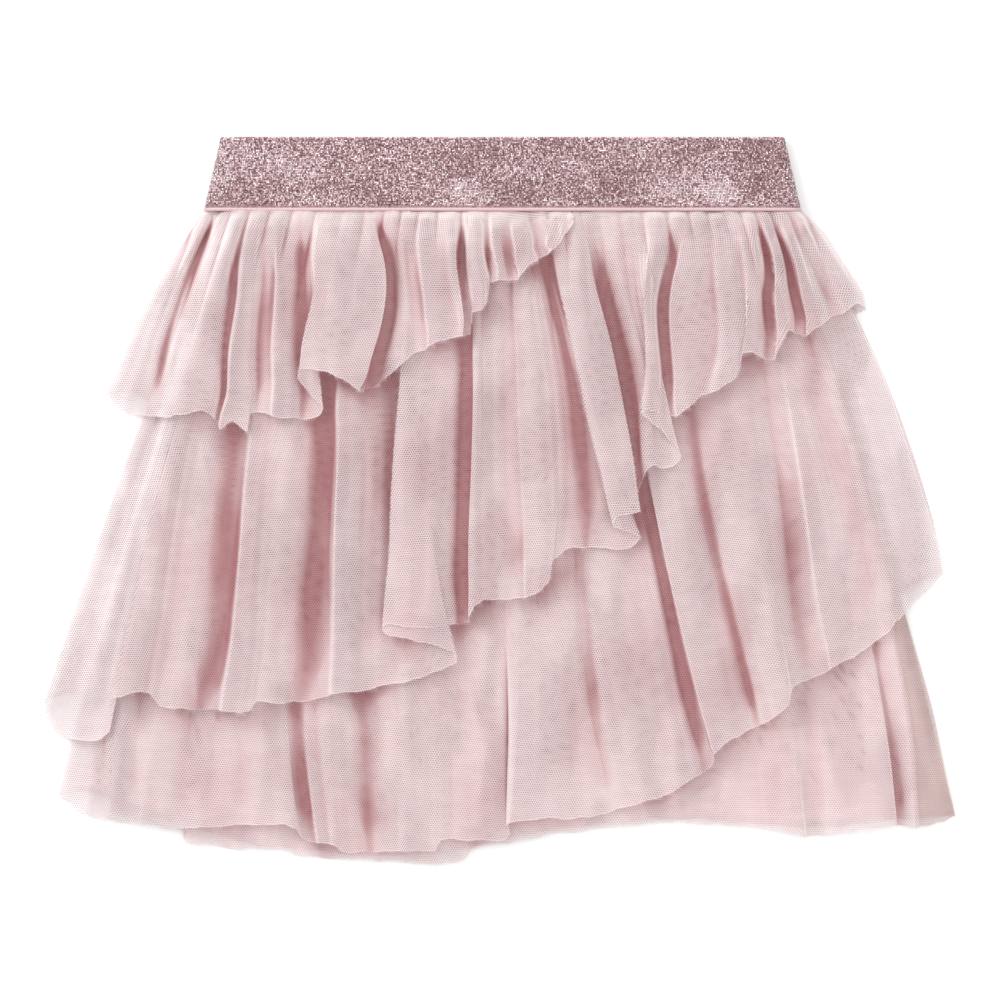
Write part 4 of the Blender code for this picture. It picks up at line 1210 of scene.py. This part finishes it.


def net_opacity(tree, hole, hole_shade, rim, seen):
    """Clear in the holes and a little on the yarn, firm along a cut edge and where yarns crowd."""
    sheer = seen["sheer"]
    firm = maths(tree, "MULTIPLY_ADD", rim, 0.9, seen["crowd"], clamp=True)
    clear = maths(tree, "MULTIPLY_ADD", hole_shade, 0.30, maths(tree, "MULTIPLY_ADD", sheer, 0.06, 0.14))
    clear = maths(tree, "MULTIPLY", hole, clear)
    thin = maths(tree, "MULTIPLY_ADD", sheer, -0.06, 0.28)
    thin = maths(tree, "MULTIPLY", thin, maths(tree, "MULTIPLY_ADD", firm, -0.8, 1.0))
    return maths(tree, "SUBTRACT", maths(tree, "SUBTRACT", 1.0, clear), thin, clamp=True)


def net_colour(tree, hole, hole_shade, depth, seen):
    """Pale on a crest, painted rose shade in a hollow, a painted highlight where yarns crowd, painted shade
    in holes.
    """
    # painted shade among the folds, darkest in the deep valleys
    colour = blend(tree, remap(tree, depth, 0.0, 0.5), YARN, SHADED_ROSE)
    colour = blend(tree, remap(tree, depth, 0.45, 0.95), colour, DEEP_SHADED_ROSE)
    # painted light that comes through where the cloth is spread
    colour = blend(tree, maths(tree, "MULTIPLY", seen["sheer"], 0.7), colour, LIT_THROUGH_YARN)
    # painted shade on the back piece past a side seam
    colour = blend(tree, maths(tree, "MULTIPLY", seen["past"], 0.85), colour, PAST_SEAM_SHADE)
    shallow = maths(tree, "MULTIPLY_ADD", depth, -2.0, 1.0, clamp=True)
    # painted highlight on the steep flanks, where the cloth isn't deep among the folds
    colour = blend(tree, maths(tree, "MULTIPLY", seen["crowd"], shallow), colour, EDGE_HIGHLIGHT_YARN)
    # painted shade in the holes, from barely any over the next ply to dark over a deep fold
    hole_shade_tint = blend(tree, hole_shade, HOLE_NEAR_SHADE, HOLE_DEEP_SHADE)
    return blend(tree, hole, colour, blend(tree, 1.0, colour, hole_shade_tint, "MULTIPLY"))


print("colours of the net:", YARN, "to", DEEP_SHADED_ROSE)

# %% [markdown]
# ## One finish for each sheet
# The rows of each piece are turned a little differently, as cut cloth is, so that two plies seen through
# each other don't line up. Of the inner backs, which lie between two other plies, only the spread sides
# can be seen through.

# %% Net material
EDGE_WIDTH = 0.45          # width of the closed row of cells along a cut edge, in millimetres
SHEEN = 0.25               # faint glow of fine yarn at a flat angle


def net_material(name, turn, inner_back):
    """Soft net: clear six-sided holes, painted rose shade among the folds, a painted highlight where yarns
    crowd.
    """
    finish, shader = plain_shader(name, YARN, 0.78)
    tree = finish.node_tree
    uv = add_node(tree, "ShaderNodeUVMap", uv_map="net").outputs[0]
    seen = {label: measure(tree, label) for label in ("hollow", "gap", "crowd", "sheer", "past", "edge")}
    rim = remap(tree, seen["edge"], EDGE_WIDTH, 0.5 * EDGE_WIDTH)
    hole = net_holes(tree, uv, turn)
    for closed in (seen["crowd"], rim):
        hole = maths(tree, "MULTIPLY", hole, maths(tree, "MULTIPLY_ADD", closed, -0.6, 1.0))
    depth = net_fold_shade(tree, uv, seen)
    hole_shade = net_dots(tree, uv, seen, depth)
    opaque = net_opacity(tree, hole, hole_shade, rim, seen)
    if inner_back:
        spread = maths(tree, "MULTIPLY_ADD", seen["sheer"], -1.6, 1.0, clamp=True)
        opaque = maths(tree, "MAXIMUM", opaque, spread)
    tree.links.new(opaque, shader.inputs["Alpha"])
    tree.links.new(net_colour(tree, hole, hole_shade, depth, seen), shader.inputs["Base Color"])
    raise_yarn(tree, shader, maths(tree, "SUBTRACT", 1.0, hole), 0.35)
    shader.inputs["Sheen Weight"].default_value = SHEEN
    shader.inputs["Sheen Roughness"].default_value = 0.4
    shader.inputs["Specular IOR Level"].default_value = 0.2
    return finish


for tier in TIERS:
    for side, turn in (("_front", tier.turn), ("_back", -2.0 * tier.turn)):
        inner_back = side == "_back" and tier.name != "tier_1"
        finish = net_material(tier.name + side + "_net", turn, inner_back)
        pieces[tier.name + side].data.materials.append(finish)
print("finishes of net:", len({piece.data.materials[0].name for piece in pieces.values()}))

# %% [markdown]
# ## Small things in rows
# Metallic loops on the elastic, loose yarn ends along a raw hem and stitches are the same few shapes
# repeated thousands of times, which is work for Geometry Nodes. The first and the last nodes are the
# same in every such tree, so each end has its own function.

# %% Both ends of a tree
def start_tree(name, inputs):
    """A node tree with these named inputs, and the values that it is given there."""
    tree = bpy.data.node_groups.new(name, "GeometryNodeTree")
    for label, kind in inputs:
        tree.interface.new_socket(label, in_out="INPUT", socket_type="NodeSocket" + kind)
    tree.interface.new_socket("Geometry", in_out="OUTPUT", socket_type="NodeSocketGeometry")
    return tree, add_node(tree, "NodeGroupInput").outputs


def end_tree(tree, copies, finish):
    """Make the copies real, give them their finish and hand them out."""
    real = add_node(tree, "GeometryNodeRealizeInstances")
    feed(tree, real.inputs["Geometry"], copies)
    painted = add_node(tree, "GeometryNodeSetMaterial")
    feed(tree, painted.inputs["Geometry"], real.outputs["Geometry"])
    feed(tree, painted.inputs["Material"], finish)
    feed(tree, add_node(tree, "NodeGroupOutput").inputs["Geometry"], painted.outputs["Geometry"])


def input_names(tree):
    """The names of a tree's inputs."""
    return [item.name for item in tree.interface.items_tree if item.in_out == "INPUT"]


print("a tree is started, filled and ended")

# %% [markdown]
# ## Cones on points
# This tree puts one small cone on each of a set of points, turned the way that the point says, a little
# tilted and of uneven size. Each cone also gets a random shade, which the finish can read; on the metallic
# loops it is a painted reflection. A cone has four sides and no bottom, since nobody sees more at this size.

# %% Cones on points
CONE_SIDES = 4


def cone_tree():
    """The node tree: an uneven cone on each point, with named inputs for its sizes."""
    tree, given = start_tree("cones_on_points", (
        ("Geometry", "Geometry"), ("Radius", "Float"), ("Height", "Float"), ("Tilt", "Float"),
        ("Smallest", "Float"), ("Seed", "Int"), ("Finish", "Material")))
    cone = add_node(tree, "GeometryNodeMeshCone", fill_type="NONE")
    cone.inputs["Vertices"].default_value = CONE_SIDES
    feed(tree, cone.inputs["Radius Bottom"], given["Radius"])
    cone.inputs["Radius Top"].default_value = 0.0
    feed(tree, cone.inputs["Depth"], given["Height"])

    outward = add_node(tree, "GeometryNodeInputNamedAttribute", data_type="FLOAT_VECTOR")
    outward.inputs["Name"].default_value = "outward"
    face_out = add_node(tree, "FunctionNodeAlignRotationToVector", axis="Z")
    feed(tree, face_out.inputs["Vector"], outward.outputs["Attribute"])
    lean = add_node(tree, "FunctionNodeRandomValue", data_type="FLOAT_VECTOR")
    spread = add_node(tree, "ShaderNodeCombineXYZ")
    for axis in "XY":
        feed(tree, spread.inputs[axis], given["Tilt"])
    spread.inputs["Z"].default_value = np.pi
    reverse = add_node(tree, "ShaderNodeVectorMath", operation="SCALE")
    feed(tree, reverse.inputs[0], spread.outputs[0])
    reverse.inputs["Scale"].default_value = -1.0
    feed(tree, lean.inputs["Min"], reverse.outputs[0])
    feed(tree, lean.inputs["Max"], spread.outputs[0])
    feed(tree, lean.inputs["Seed"], given["Seed"])
    tilted = add_node(tree, "FunctionNodeRotateRotation", rotation_space="LOCAL")
    feed(tree, tilted.inputs["Rotation"], face_out.outputs["Rotation"])
    feed(tree, tilted.inputs["Rotate By"], lean.outputs["Value"])

    size = add_node(tree, "FunctionNodeRandomValue", data_type="FLOAT")
    feed(tree, size.inputs["Min"], given["Smallest"])
    feed(tree, size.inputs["Seed"], given["Seed"])
    placed = add_node(tree, "GeometryNodeInstanceOnPoints")
    feed(tree, placed.inputs["Points"], given["Geometry"])
    feed(tree, placed.inputs["Instance"], cone.outputs["Mesh"])
    feed(tree, placed.inputs["Rotation"], tilted.outputs["Rotation"])
    feed(tree, placed.inputs["Scale"], size.outputs["Value"])
    luck = add_node(tree, "FunctionNodeRandomValue", data_type="FLOAT")
    feed(tree, luck.inputs["Seed"], maths(tree, "ADD", given["Seed"], 1.0))
    shade = add_node(tree, "GeometryNodeStoreNamedAttribute", data_type="FLOAT", domain="INSTANCE")
    shade.inputs["Name"].default_value = "shade"
    feed(tree, shade.inputs["Geometry"], placed.outputs["Instances"])
    feed(tree, shade.inputs["Value"], luck.outputs["Value"])
    end_tree(tree, shade.outputs["Geometry"], given["Finish"])
    return tree


CONE_TREE = cone_tree()
print("inputs:", input_names(CONE_TREE))

# %% [markdown]
# ## From nodes to a plain mesh
# A modifier with a node tree is only a recipe. Its inputs are set first, then it is worked out once, and
# the result is kept as a mesh of its own, so that nothing about the piece is left to be worked out later.

# %% Grow a piece
Cones = namedtuple("Cones", "radius height tilt smallest seed")


def grow(holder, tree, values):
    """Run a node tree on an object with these inputs, and return the result as a plain piece."""
    modifier = holder.modifiers.new("nodes", "NODES")
    modifier.node_group = tree
    for item in tree.interface.items_tree:
        if item.in_out == "INPUT" and item.name in values:
            modifier[item.identifier] = values[item.name]
    scene.collection.objects.link(holder)
    evaluated = holder.evaluated_get(bpy.context.evaluated_depsgraph_get())
    mesh = bpy.data.meshes.new_from_object(evaluated)
    name = holder.name
    bpy.data.objects.remove(holder)
    mesh.name = name
    piece = bpy.data.objects.new(name, mesh)
    scene.collection.objects.link(piece)
    return piece


def cones_on(name, points, outward, cones, finish):
    """One piece of cones on points given in millimetres."""
    mesh = bpy.data.meshes.new(name)
    mesh.from_pydata((np.asarray(points) * MM).tolist(), [], [])
    layer = mesh.attributes.new("outward", "FLOAT_VECTOR", "POINT")
    layer.data.foreach_set("vector", np.asarray(outward, float).ravel())
    return grow(bpy.data.objects.new(name, mesh), CONE_TREE, {
        "Radius": cones.radius * MM, "Height": cones.height * MM, "Tilt": cones.tilt,
        "Smallest": cones.smallest, "Seed": cones.seed, "Finish": finish})


print("a set of cones is told:", Cones._fields)

# %% [markdown]
# ## Raw hems
# The hems are cut and not sewn, because net doesn't fray or run. A cut leaves a short yarn end at each
# cell. The ends carry on the way that the cloth was going, a bit off line.

# %% Yarn ends
YARN_END = Cones(radius=0.16, height=1.15, tilt=0.50, smallest=0.30, seed=3)
ROOTED = 0.1               # how far a yarn end starts inside the hem
END_SHADES = (0.68, 0.98)  # its darkest and palest shade, against the yarn of the net


def yarn_ends(name, sheet):
    """Short yarn ends along the hem, one for each cell of the net."""
    above, hem = points_of(sheet)[-2:]
    along = length_along(*hem.T)
    at = np.arange(0.5, along[-1], CELL_PITCH / MM)
    place, way = (np.stack([np.interp(at, along, g[:, k]) for k in range(3)], axis=-1)
                  for g in (hem, hem - above))
    way /= np.linalg.norm(way, axis=1)[:, None]
    finish, shader = plain_shader(name + "_yarn", YARN, 0.7)
    tree = finish.node_tree
    speckle = noise(tree, place_on(tree), 900.0)
    dark, pale = (tuple(share * c for c in YARN) for share in END_SHADES)
    tree.links.new(blend(tree, speckle, dark, pale), shader.inputs["Base Color"])
    shader.inputs["Sheen Weight"].default_value = SHEEN
    return cones_on(name, place - ROOTED * way, way, YARN_END, finish)


hems = {name: yarn_ends(name + "_yarn_ends", sheet) for name, sheet in sheets.items()}
print("yarn ends:", sum(len(piece.data.polygons) for piece in hems.values()) // CONE_SIDES)

# %% [markdown]
# ## The elastic
# The waistband is a knitted elastic, 31 mm wide, with a metallic yarn in its face and a plain edge. It's
# a tube folded flat. One closed profile, face, lower edge, lining and upper edge, is carried round the
# flattened ring, which keeps it one clean skin with a real thickness.

# %% Elastic
band_low, band_high = (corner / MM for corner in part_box("waistband"))
BAND_TOP_HALF = 115.8      # half the width of the folded band at its top edge
BAND_TOP_HEIGHT = 7.0
BAND_CENTRE = 0.5 * (band_low.x + band_high.x)
BAND_BOTTOM_HALF = 0.5 * (band_high.x - band_low.x)
BAND_TALL = band_high.y - band_low.y
BAND_WALL = 1.7            # thickness of the elastic
RIB_PITCH = 1.12           # the knit has low ribs across the band
RIB_HEIGHT = 0.10
SELVEDGE = 1.3             # width of the plain edge at the bottom of the band
Sway = namedtuple("Sway", "height length slant")
SWAYS = (Sway(0.30, 17.0, 4.0), Sway(0.22, 9.3, -3.0))
Band = namedtuple("Band", "x y z out_x out_z")


def sway(x, share):
    """The face of the elastic isn't quite level; this lets it catch the light in patches."""
    return sum(s.height * np.sin(x / s.length + s.slant * share) for s in SWAYS)


def band_ring(share, inset, steps=118, turns=10):
    """Points round the flattened tube at one level, and the way that they face."""
    half = BAND_TOP_HALF + (BAND_BOTTOM_HALF - BAND_TOP_HALF) * share
    height = BAND_TOP_HEIGHT + (band_high.z - BAND_TOP_HEIGHT) * share
    middle = 0.5 * height
    reach = half - middle
    radius = middle - inset
    x, z, out_x, out_z = [], [], [], []
    for side in (1.0, -1.0):
        flat = reach * (2.0 * np.arange(steps) / steps - 1.0)
        x += list(side * flat)
        z += [middle - side * radius] * steps
        out_x += [0.0] * steps
        out_z += [-side] * steps
        for angle in np.pi * np.arange(turns) / turns:
            x.append(side * (reach + radius * np.sin(angle)))
            z.append(middle - side * radius * np.cos(angle))
            out_x.append(side * np.sin(angle))
            out_z.append(-side * np.cos(angle))
    y = band_high.y - BAND_TALL * share
    x, z = np.array(x) + BAND_CENTRE, np.array(z)
    z = z + sway(x, share) * z / height
    return Band(x, np.full(len(x), y), z, np.array(out_x), np.array(out_z))


print("band width at top and seam:", round(2 * BAND_TOP_HALF), round(2 * BAND_BOTTOM_HALF), "mm")

# %% [markdown]
# ## The skin of the elastic
# One ring stands for one level of the profile. The face goes down in ribs, the selvedge bulges a little,
# and the lining comes back up plain. The rings are joined to each other and the last one to the first.

# %% Elastic mesh
FACE_ROWS = 140
LINING_ROWS = 8
FACE_START = 0.02          # shares of the band's height at which the face and the lining start and end
KNIT_END = 1.0 - SELVEDGE / BAND_TALL
LINING_END = 0.985
EDGE_ROUND = 0.5           # how far the two edges are rounded, in millimetres
BULGE = 0.15               # how far the selvedge stands out


def band_profile():
    """Levels down the face and back up the lining, each with its depth below the face."""
    ribs = 2.0 * np.pi * BAND_TALL / RIB_PITCH
    face = [(share, RIB_HEIGHT * (0.5 + 0.5 * np.cos(ribs * share)))
            for share in np.linspace(FACE_START, KNIT_END, FACE_ROWS)]
    selvedge = [(KNIT_END + (1.0 - KNIT_END) * t, RIB_HEIGHT - BULGE * np.sin(np.pi * t))
                for t in (0.1, 0.3, 0.5, 0.7, 0.9)]
    lining = [(share, BAND_WALL) for share in np.linspace(LINING_END, FACE_START, LINING_ROWS)]
    low_edge = [(1.0, EDGE_ROUND), (1.0, BAND_WALL - EDGE_ROUND)]
    high_edge = [(0.0, BAND_WALL - EDGE_ROUND), (0.0, EDGE_ROUND)]
    return face + selvedge + low_edge + lining + high_edge


def make_elastic():
    """The tube: ribbed face, rounded edges and plain lining."""
    profile = band_profile()
    rings = [band_ring(share, inset) for share, inset in profile]
    points = np.array([np.stack(ring[:3], axis=-1) for ring in rings])
    levels, around = points.shape[:2]
    index = np.arange(levels * around).reshape(levels, around)
    below, beside = np.roll(index, -1, axis=0), np.roll(index, -1, axis=1)
    quads = np.stack([index, below, np.roll(below, -1, axis=1), beside], axis=-1).reshape(-1, 4)
    mesh = bpy.data.meshes.new("waistband_elastic")
    mesh.from_pydata((points.reshape(-1, 3) * MM).tolist(), [], quads[:, ::-1].tolist())
    mesh.shade_smooth()
    plain = mesh.attributes.new("plain", "FLOAT", "POINT")
    at_edge = [float(share > KNIT_END + 0.002 or share < FACE_START + 0.002) for share, _ in profile]
    plain.data.foreach_set("value", np.repeat(at_edge, around))
    elastic = bpy.data.objects.new("waistband_elastic", mesh)
    scene.collection.objects.link(elastic)
    return elastic


elastic = make_elastic()
print("elastic:", 2 * len(elastic.data.polygons), "triangles")

# %% [markdown]
# ## The finish of the knit
# Between the metallic loops the knit is a dull brownish rose, and the plain edges are of a paler yarn,
# close to the net. One number on each point says which of the two it is.

# %% Elastic material
KNIT = ((0.12, 0.052, 0.062), (0.46, 0.28, 0.295))     # the knit between its yarns, and on them
SELVEDGE_YARN = ((0.60, 0.42, 0.43), (0.70, 0.52, 0.53))


def elastic_material():
    """Knitted rose yarn between the metallic loops, and plain edges."""
    finish, shader = plain_shader("elastic_knit", (0.30, 0.17, 0.18), 0.55)
    tree = finish.node_tree
    grain = noise(tree, place_on(tree), 1400.0, 2.0, (1.0, 1.4, 1.0))
    knit = blend(tree, remap(tree, grain, 0.35, 0.65), *KNIT)
    edge = blend(tree, grain, *SELVEDGE_YARN)
    tree.links.new(blend(tree, measure(tree, "plain"), knit, edge), shader.inputs["Base Color"])
    raise_yarn(tree, shader, grain, 0.5)
    return finish


elastic.data.materials.append(elastic_material())
print("finish of the band:", elastic.data.materials[0].name)

# %% [markdown]
# ## Metallic loops
# The glitter is a flat metallic yarn that comes to the face in small loops. Each loop lies a little
# differently, so some are dark and a few are nearly white, whichever side they're seen from. This is a
# painted reflection: a random shade on each of them does it without any help from the camera. The band
# isn't quite level either: where it bulges it glints and where it dips it is dull, so a short table gives
# the largest such patches as painted highlights and painted shade, and a broad noise the small ones.

# %% Metallic yarn
LOOP_REFLECTION_SHADES = (            # place on the scale of painted reflection shades, and the colour there
    (0.01, (0.06, 0.026, 0.032)),
    (0.32, (0.17, 0.085, 0.098)),
    (0.50, (0.50, 0.33, 0.35)),
    (0.66, (0.92, 0.78, 0.80)),
    (0.99, (1.0, 0.96, 0.97)),
)
Glint = namedtuple("Glint", "x y reach paler")
GLINTS = (                 # middle of a patch and its reach, in millimetres, and how much paler it is as a painted highlight; below 0 it is painted shade
    Glint(-15.0, 126.5, 15.0, 0.42),
    Glint(68.0, 127.5, 13.0, 0.26),
    Glint(91.0, 125.5, 12.0, 0.40),
    Glint(-84.0, 139.0, 18.0, 0.16),
    Glint(8.0, 126.0, 15.0, -0.26),
    Glint(109.0, 128.0, 12.0, -0.22),
    Glint(-48.0, 124.5, 20.0, -0.14),
)
GLINT_WIDE = 1.5           # how much wider than tall a patch is


def glint(tree, place, patch):
    """How much paler a painted highlight makes the face, fading out from its middle; a negative one is
    painted shade.
    """
    offset = add_node(tree, "ShaderNodeVectorMath", operation="SUBTRACT")
    feed(tree, offset.inputs[0], place)
    offset.inputs[1].default_value = (patch.x * MM, patch.y * MM, 0.0)
    flat = add_node(tree, "ShaderNodeVectorMath", operation="MULTIPLY")
    feed(tree, flat.inputs[0], offset.outputs[0])
    flat.inputs[1].default_value = (1.0, GLINT_WIDE, 0.0)
    away = add_node(tree, "ShaderNodeVectorMath", operation="LENGTH")
    feed(tree, away.inputs[0], flat.outputs[0])
    return remap(tree, away.outputs["Value"], 0.0, patch.reach * MM, patch.paler, 0.0, soft=True)


def loop_material():
    """Metallic yarn; each loop has its own painted reflection shade, with patches of painted highlight and
    shade.
    """
    finish, shader = plain_shader("metallic_yarn", (0.7, 0.5, 0.52), 0.3)
    tree = finish.node_tree
    ramp = add_node(tree, "ShaderNodeValToRGB")
    stops = ramp.color_ramp.elements
    for k, (share, colour) in enumerate(LOOP_REFLECTION_SHADES):
        stop = stops[k] if k < 2 else stops.new(share)
        stop.position = share
        stop.color = (*colour, 1.0)
    place = place_on(tree)
    # painted reflection: each loop's random shade with soft noise patches, plus the glint table's painted
    # highlights and shade
    patches = noise(tree, place, 38.0, 2.0, (1.0, 1.6, 1.0))
    uneven = maths(tree, "MULTIPLY_ADD", maths(tree, "SUBTRACT", patches, 0.5), 0.9, measure(tree, "shade"))
    for patch in GLINTS:
        uneven = maths(tree, "ADD", uneven, glint(tree, place, patch))
    tree.links.new(uneven, ramp.inputs["Fac"])
    tree.links.new(ramp.outputs["Color"], shader.inputs["Base Color"])
    shader.inputs["Metallic"].default_value = 0.7
    return finish


print("shades of a loop:", len(LOOP_REFLECTION_SHADES))

# %% [markdown]
# ## Loops in rows
# The knit sets the loops in rows across the band, each row half a step on from the last. The points go
# all the way round, since the back face shows when the skirt is turned over.

# %% Loops on the band
LOOP = Cones(radius=0.42, height=0.20, tilt=0.5, smallest=0.55, seed=11)
LOOP_PITCH = 0.66          # distance from loop to loop, and from row to row
LOOP_START = 0.5           # the first row lies this far below the top edge
LOOP_SUNK = 0.02           # the loops start this far inside the face


def loop_points():
    """Points on both faces and both folded sides of the elastic, in staggered rows."""
    points, outward = [], []
    rows = int((BAND_TALL - SELVEDGE - 0.6) / LOOP_PITCH)
    for row in range(rows):
        ring = band_ring((LOOP_START + row * LOOP_PITCH) / BAND_TALL, LOOP_SUNK)
        closed = [np.append(values, values[0]) for values in ring]
        along = length_along(closed[0], closed[2])
        at = np.arange(0.5 * LOOP_PITCH * (row % 2), along[-1], LOOP_PITCH)
        x, y, z, out_x, out_z = (np.interp(at, along, values) for values in closed)
        points.append(np.stack([x, y, z], axis=-1))
        outward.append(np.stack([out_x, np.zeros_like(x), out_z], axis=-1))
    return np.concatenate(points), np.concatenate(outward)


loops = cones_on("waistband_metallic_loops", *loop_points(), LOOP, loop_material())
print("metallic loops:", len(loops.data.polygons) // CONE_SIDES)

# %% [markdown]
# ## Stitches
# One row of small stitches holds the gathered net to the plain edge of the elastic, front and back, and
# another closes the side seam that shows on the innermost tier. A stitch is a short thick thread, so the
# tree repeats one bead along a line, drawn out the way that the line runs.

# %% Stitch tree
BEAD_SEGMENTS = 6
BEAD_RINGS = 5


def stitch_tree():
    """The node tree: a bead at each step along a line."""
    tree, given = start_tree("stitches_on_lines", (
        ("Geometry", "Geometry"), ("Pitch", "Float"), ("Long", "Float"), ("Thick", "Float"),
        ("Finish", "Material")))
    line = add_node(tree, "GeometryNodeMeshToCurve")
    feed(tree, line.inputs["Mesh"], given["Geometry"])
    steps = add_node(tree, "GeometryNodeResampleCurve", mode="LENGTH")
    feed(tree, steps.inputs["Curve"], line.outputs["Curve"])
    feed(tree, steps.inputs["Length"], given["Pitch"])
    bead = add_node(tree, "GeometryNodeMeshUVSphere")
    bead.inputs["Segments"].default_value = BEAD_SEGMENTS
    bead.inputs["Rings"].default_value = BEAD_RINGS
    bead.inputs["Radius"].default_value = 0.5
    size = add_node(tree, "ShaderNodeCombineXYZ")
    for axis, name in zip("XYZ", ("Long", "Thick", "Thick")):
        feed(tree, size.inputs[axis], given[name])
    turn = add_node(tree, "FunctionNodeAlignRotationToVector", axis="X")
    feed(tree, turn.inputs["Vector"], add_node(tree, "GeometryNodeInputTangent").outputs["Tangent"])
    placed = add_node(tree, "GeometryNodeInstanceOnPoints")
    feed(tree, placed.inputs["Points"], steps.outputs["Curve"])
    feed(tree, placed.inputs["Instance"], bead.outputs["Mesh"])
    feed(tree, placed.inputs["Rotation"], turn.outputs["Rotation"])
    feed(tree, placed.inputs["Scale"], size.outputs[0])
    end_tree(tree, placed.outputs["Instances"], given["Finish"])
    return tree


STITCH_TREE = stitch_tree()
print("inputs:", input_names(STITCH_TREE))

# %% [markdown]
# ## Rows of stitches
# The waist row runs once round the plain edge of the band. The side seam is a column of the sheet of the
# innermost tier, so its stitches lie on the cloth wherever the folds go.

# %% Stitch rows
STITCH_PITCH = 2.1
STITCH_LONG = 1.5
STITCH_THICK = 0.34
SIDE_SEAM = 171.4          # x at which the side seam meets the hem
SIDE_SEAM_TOP = -46.0      # and y below which it isn't covered
STITCH_RAISED = 0.25       # how far its stitches stand up from the middle of the cloth
THREAD = (0.66, 0.46, 0.47)
THREAD_SHADES = (0.80, 1.15)


def thread_material():
    """Matt rose sewing thread with a faint twist."""
    finish, shader = plain_shader("sewing_thread", THREAD, 0.6)
    tree = finish.node_tree
    twist = noise(tree, place_on(tree), 2500.0, 1.0)
    dark, pale = (tuple(share * c for c in THREAD) for share in THREAD_SHADES)
    tree.links.new(blend(tree, twist, dark, pale), shader.inputs["Base Color"])
    return finish


def stitch_rows(name, lines):
    """One piece of stitches along lines given as arrays of points in millimetres."""
    points = np.concatenate(lines)
    edges, first = [], 0
    for line in lines:
        edges += [(first + k, first + k + 1) for k in range(len(line) - 1)]
        first += len(line)
    mesh = bpy.data.meshes.new(name)
    mesh.from_pydata((points * MM).tolist(), edges, [])
    return grow(bpy.data.objects.new(name, mesh), STITCH_TREE, {
        "Pitch": STITCH_PITCH * MM, "Long": STITCH_LONG * MM, "Thick": STITCH_THICK * MM,
        "Finish": thread_material()})


def seam_line(sheet, hem_x, below_y):
    """A line down the cloth, on the column that meets the hem at one place."""
    column = np.abs(sheet.x[-1] - hem_x).argmin()
    points = points_of(sheet)[:, column]
    return points[points[:, 1] < below_y] + np.array([0.0, 0.0, STITCH_RAISED])


waist_line = points_of(band_ring(1.0 - 0.45 * SELVEDGE / BAND_TALL, -BULGE))
waist_stitches = stitch_rows("waistband_stitches", [waist_line])
side_line = seam_line(sheets["tier_4_front"], SIDE_SEAM, SIDE_SEAM_TOP)
side_stitches = stitch_rows("tier_4_side_stitches", [side_line])
beads = (len(waist_stitches.data.polygons) + len(side_stitches.data.polygons)) // (BEAD_SEGMENTS * BEAD_RINGS)
print("stitches:", beads)

# %% [markdown]
# ## How large each sheet lies
# A gathered tier is cut far wider than it lies. The table gives the cloth that shows and lies modelled
# here, in metres: the width along its hem, its longest drop from the seam, and its area, which is less
# than width times drop because the tiers are cut obliquely and draw in to the waist.

# %% Cuts
Cut = namedtuple("Cut", "width drop area")
for name, sheet in sheets.items():
    points = points_of(sheet) * MM
    wide = np.linalg.norm(np.diff(points[-1], axis=0), axis=1).sum()
    long = np.linalg.norm(np.diff(points, axis=0), axis=2).sum(axis=0).max()
    area = sum(p.area for p in pieces[name].data.polygons)
    print(name, "measures", round(wide, 3), "x", round(long, 3), "m and", round(area, 4), "m2")

# %% [markdown]
# ## Hang each piece on the body
# Every piece rides on the one body, and the plain wall of the node that it dresses is hidden. The loops
# and stitches have no node of their own and ride on the same body.

# %% Attach
for name, piece in pieces.items():
    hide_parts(name)
    for part in (piece, hems[name]):
        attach(part, "root")
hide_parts("waistband")
for part in (elastic, loops, waist_stitches, side_stitches):
    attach(part, "root")
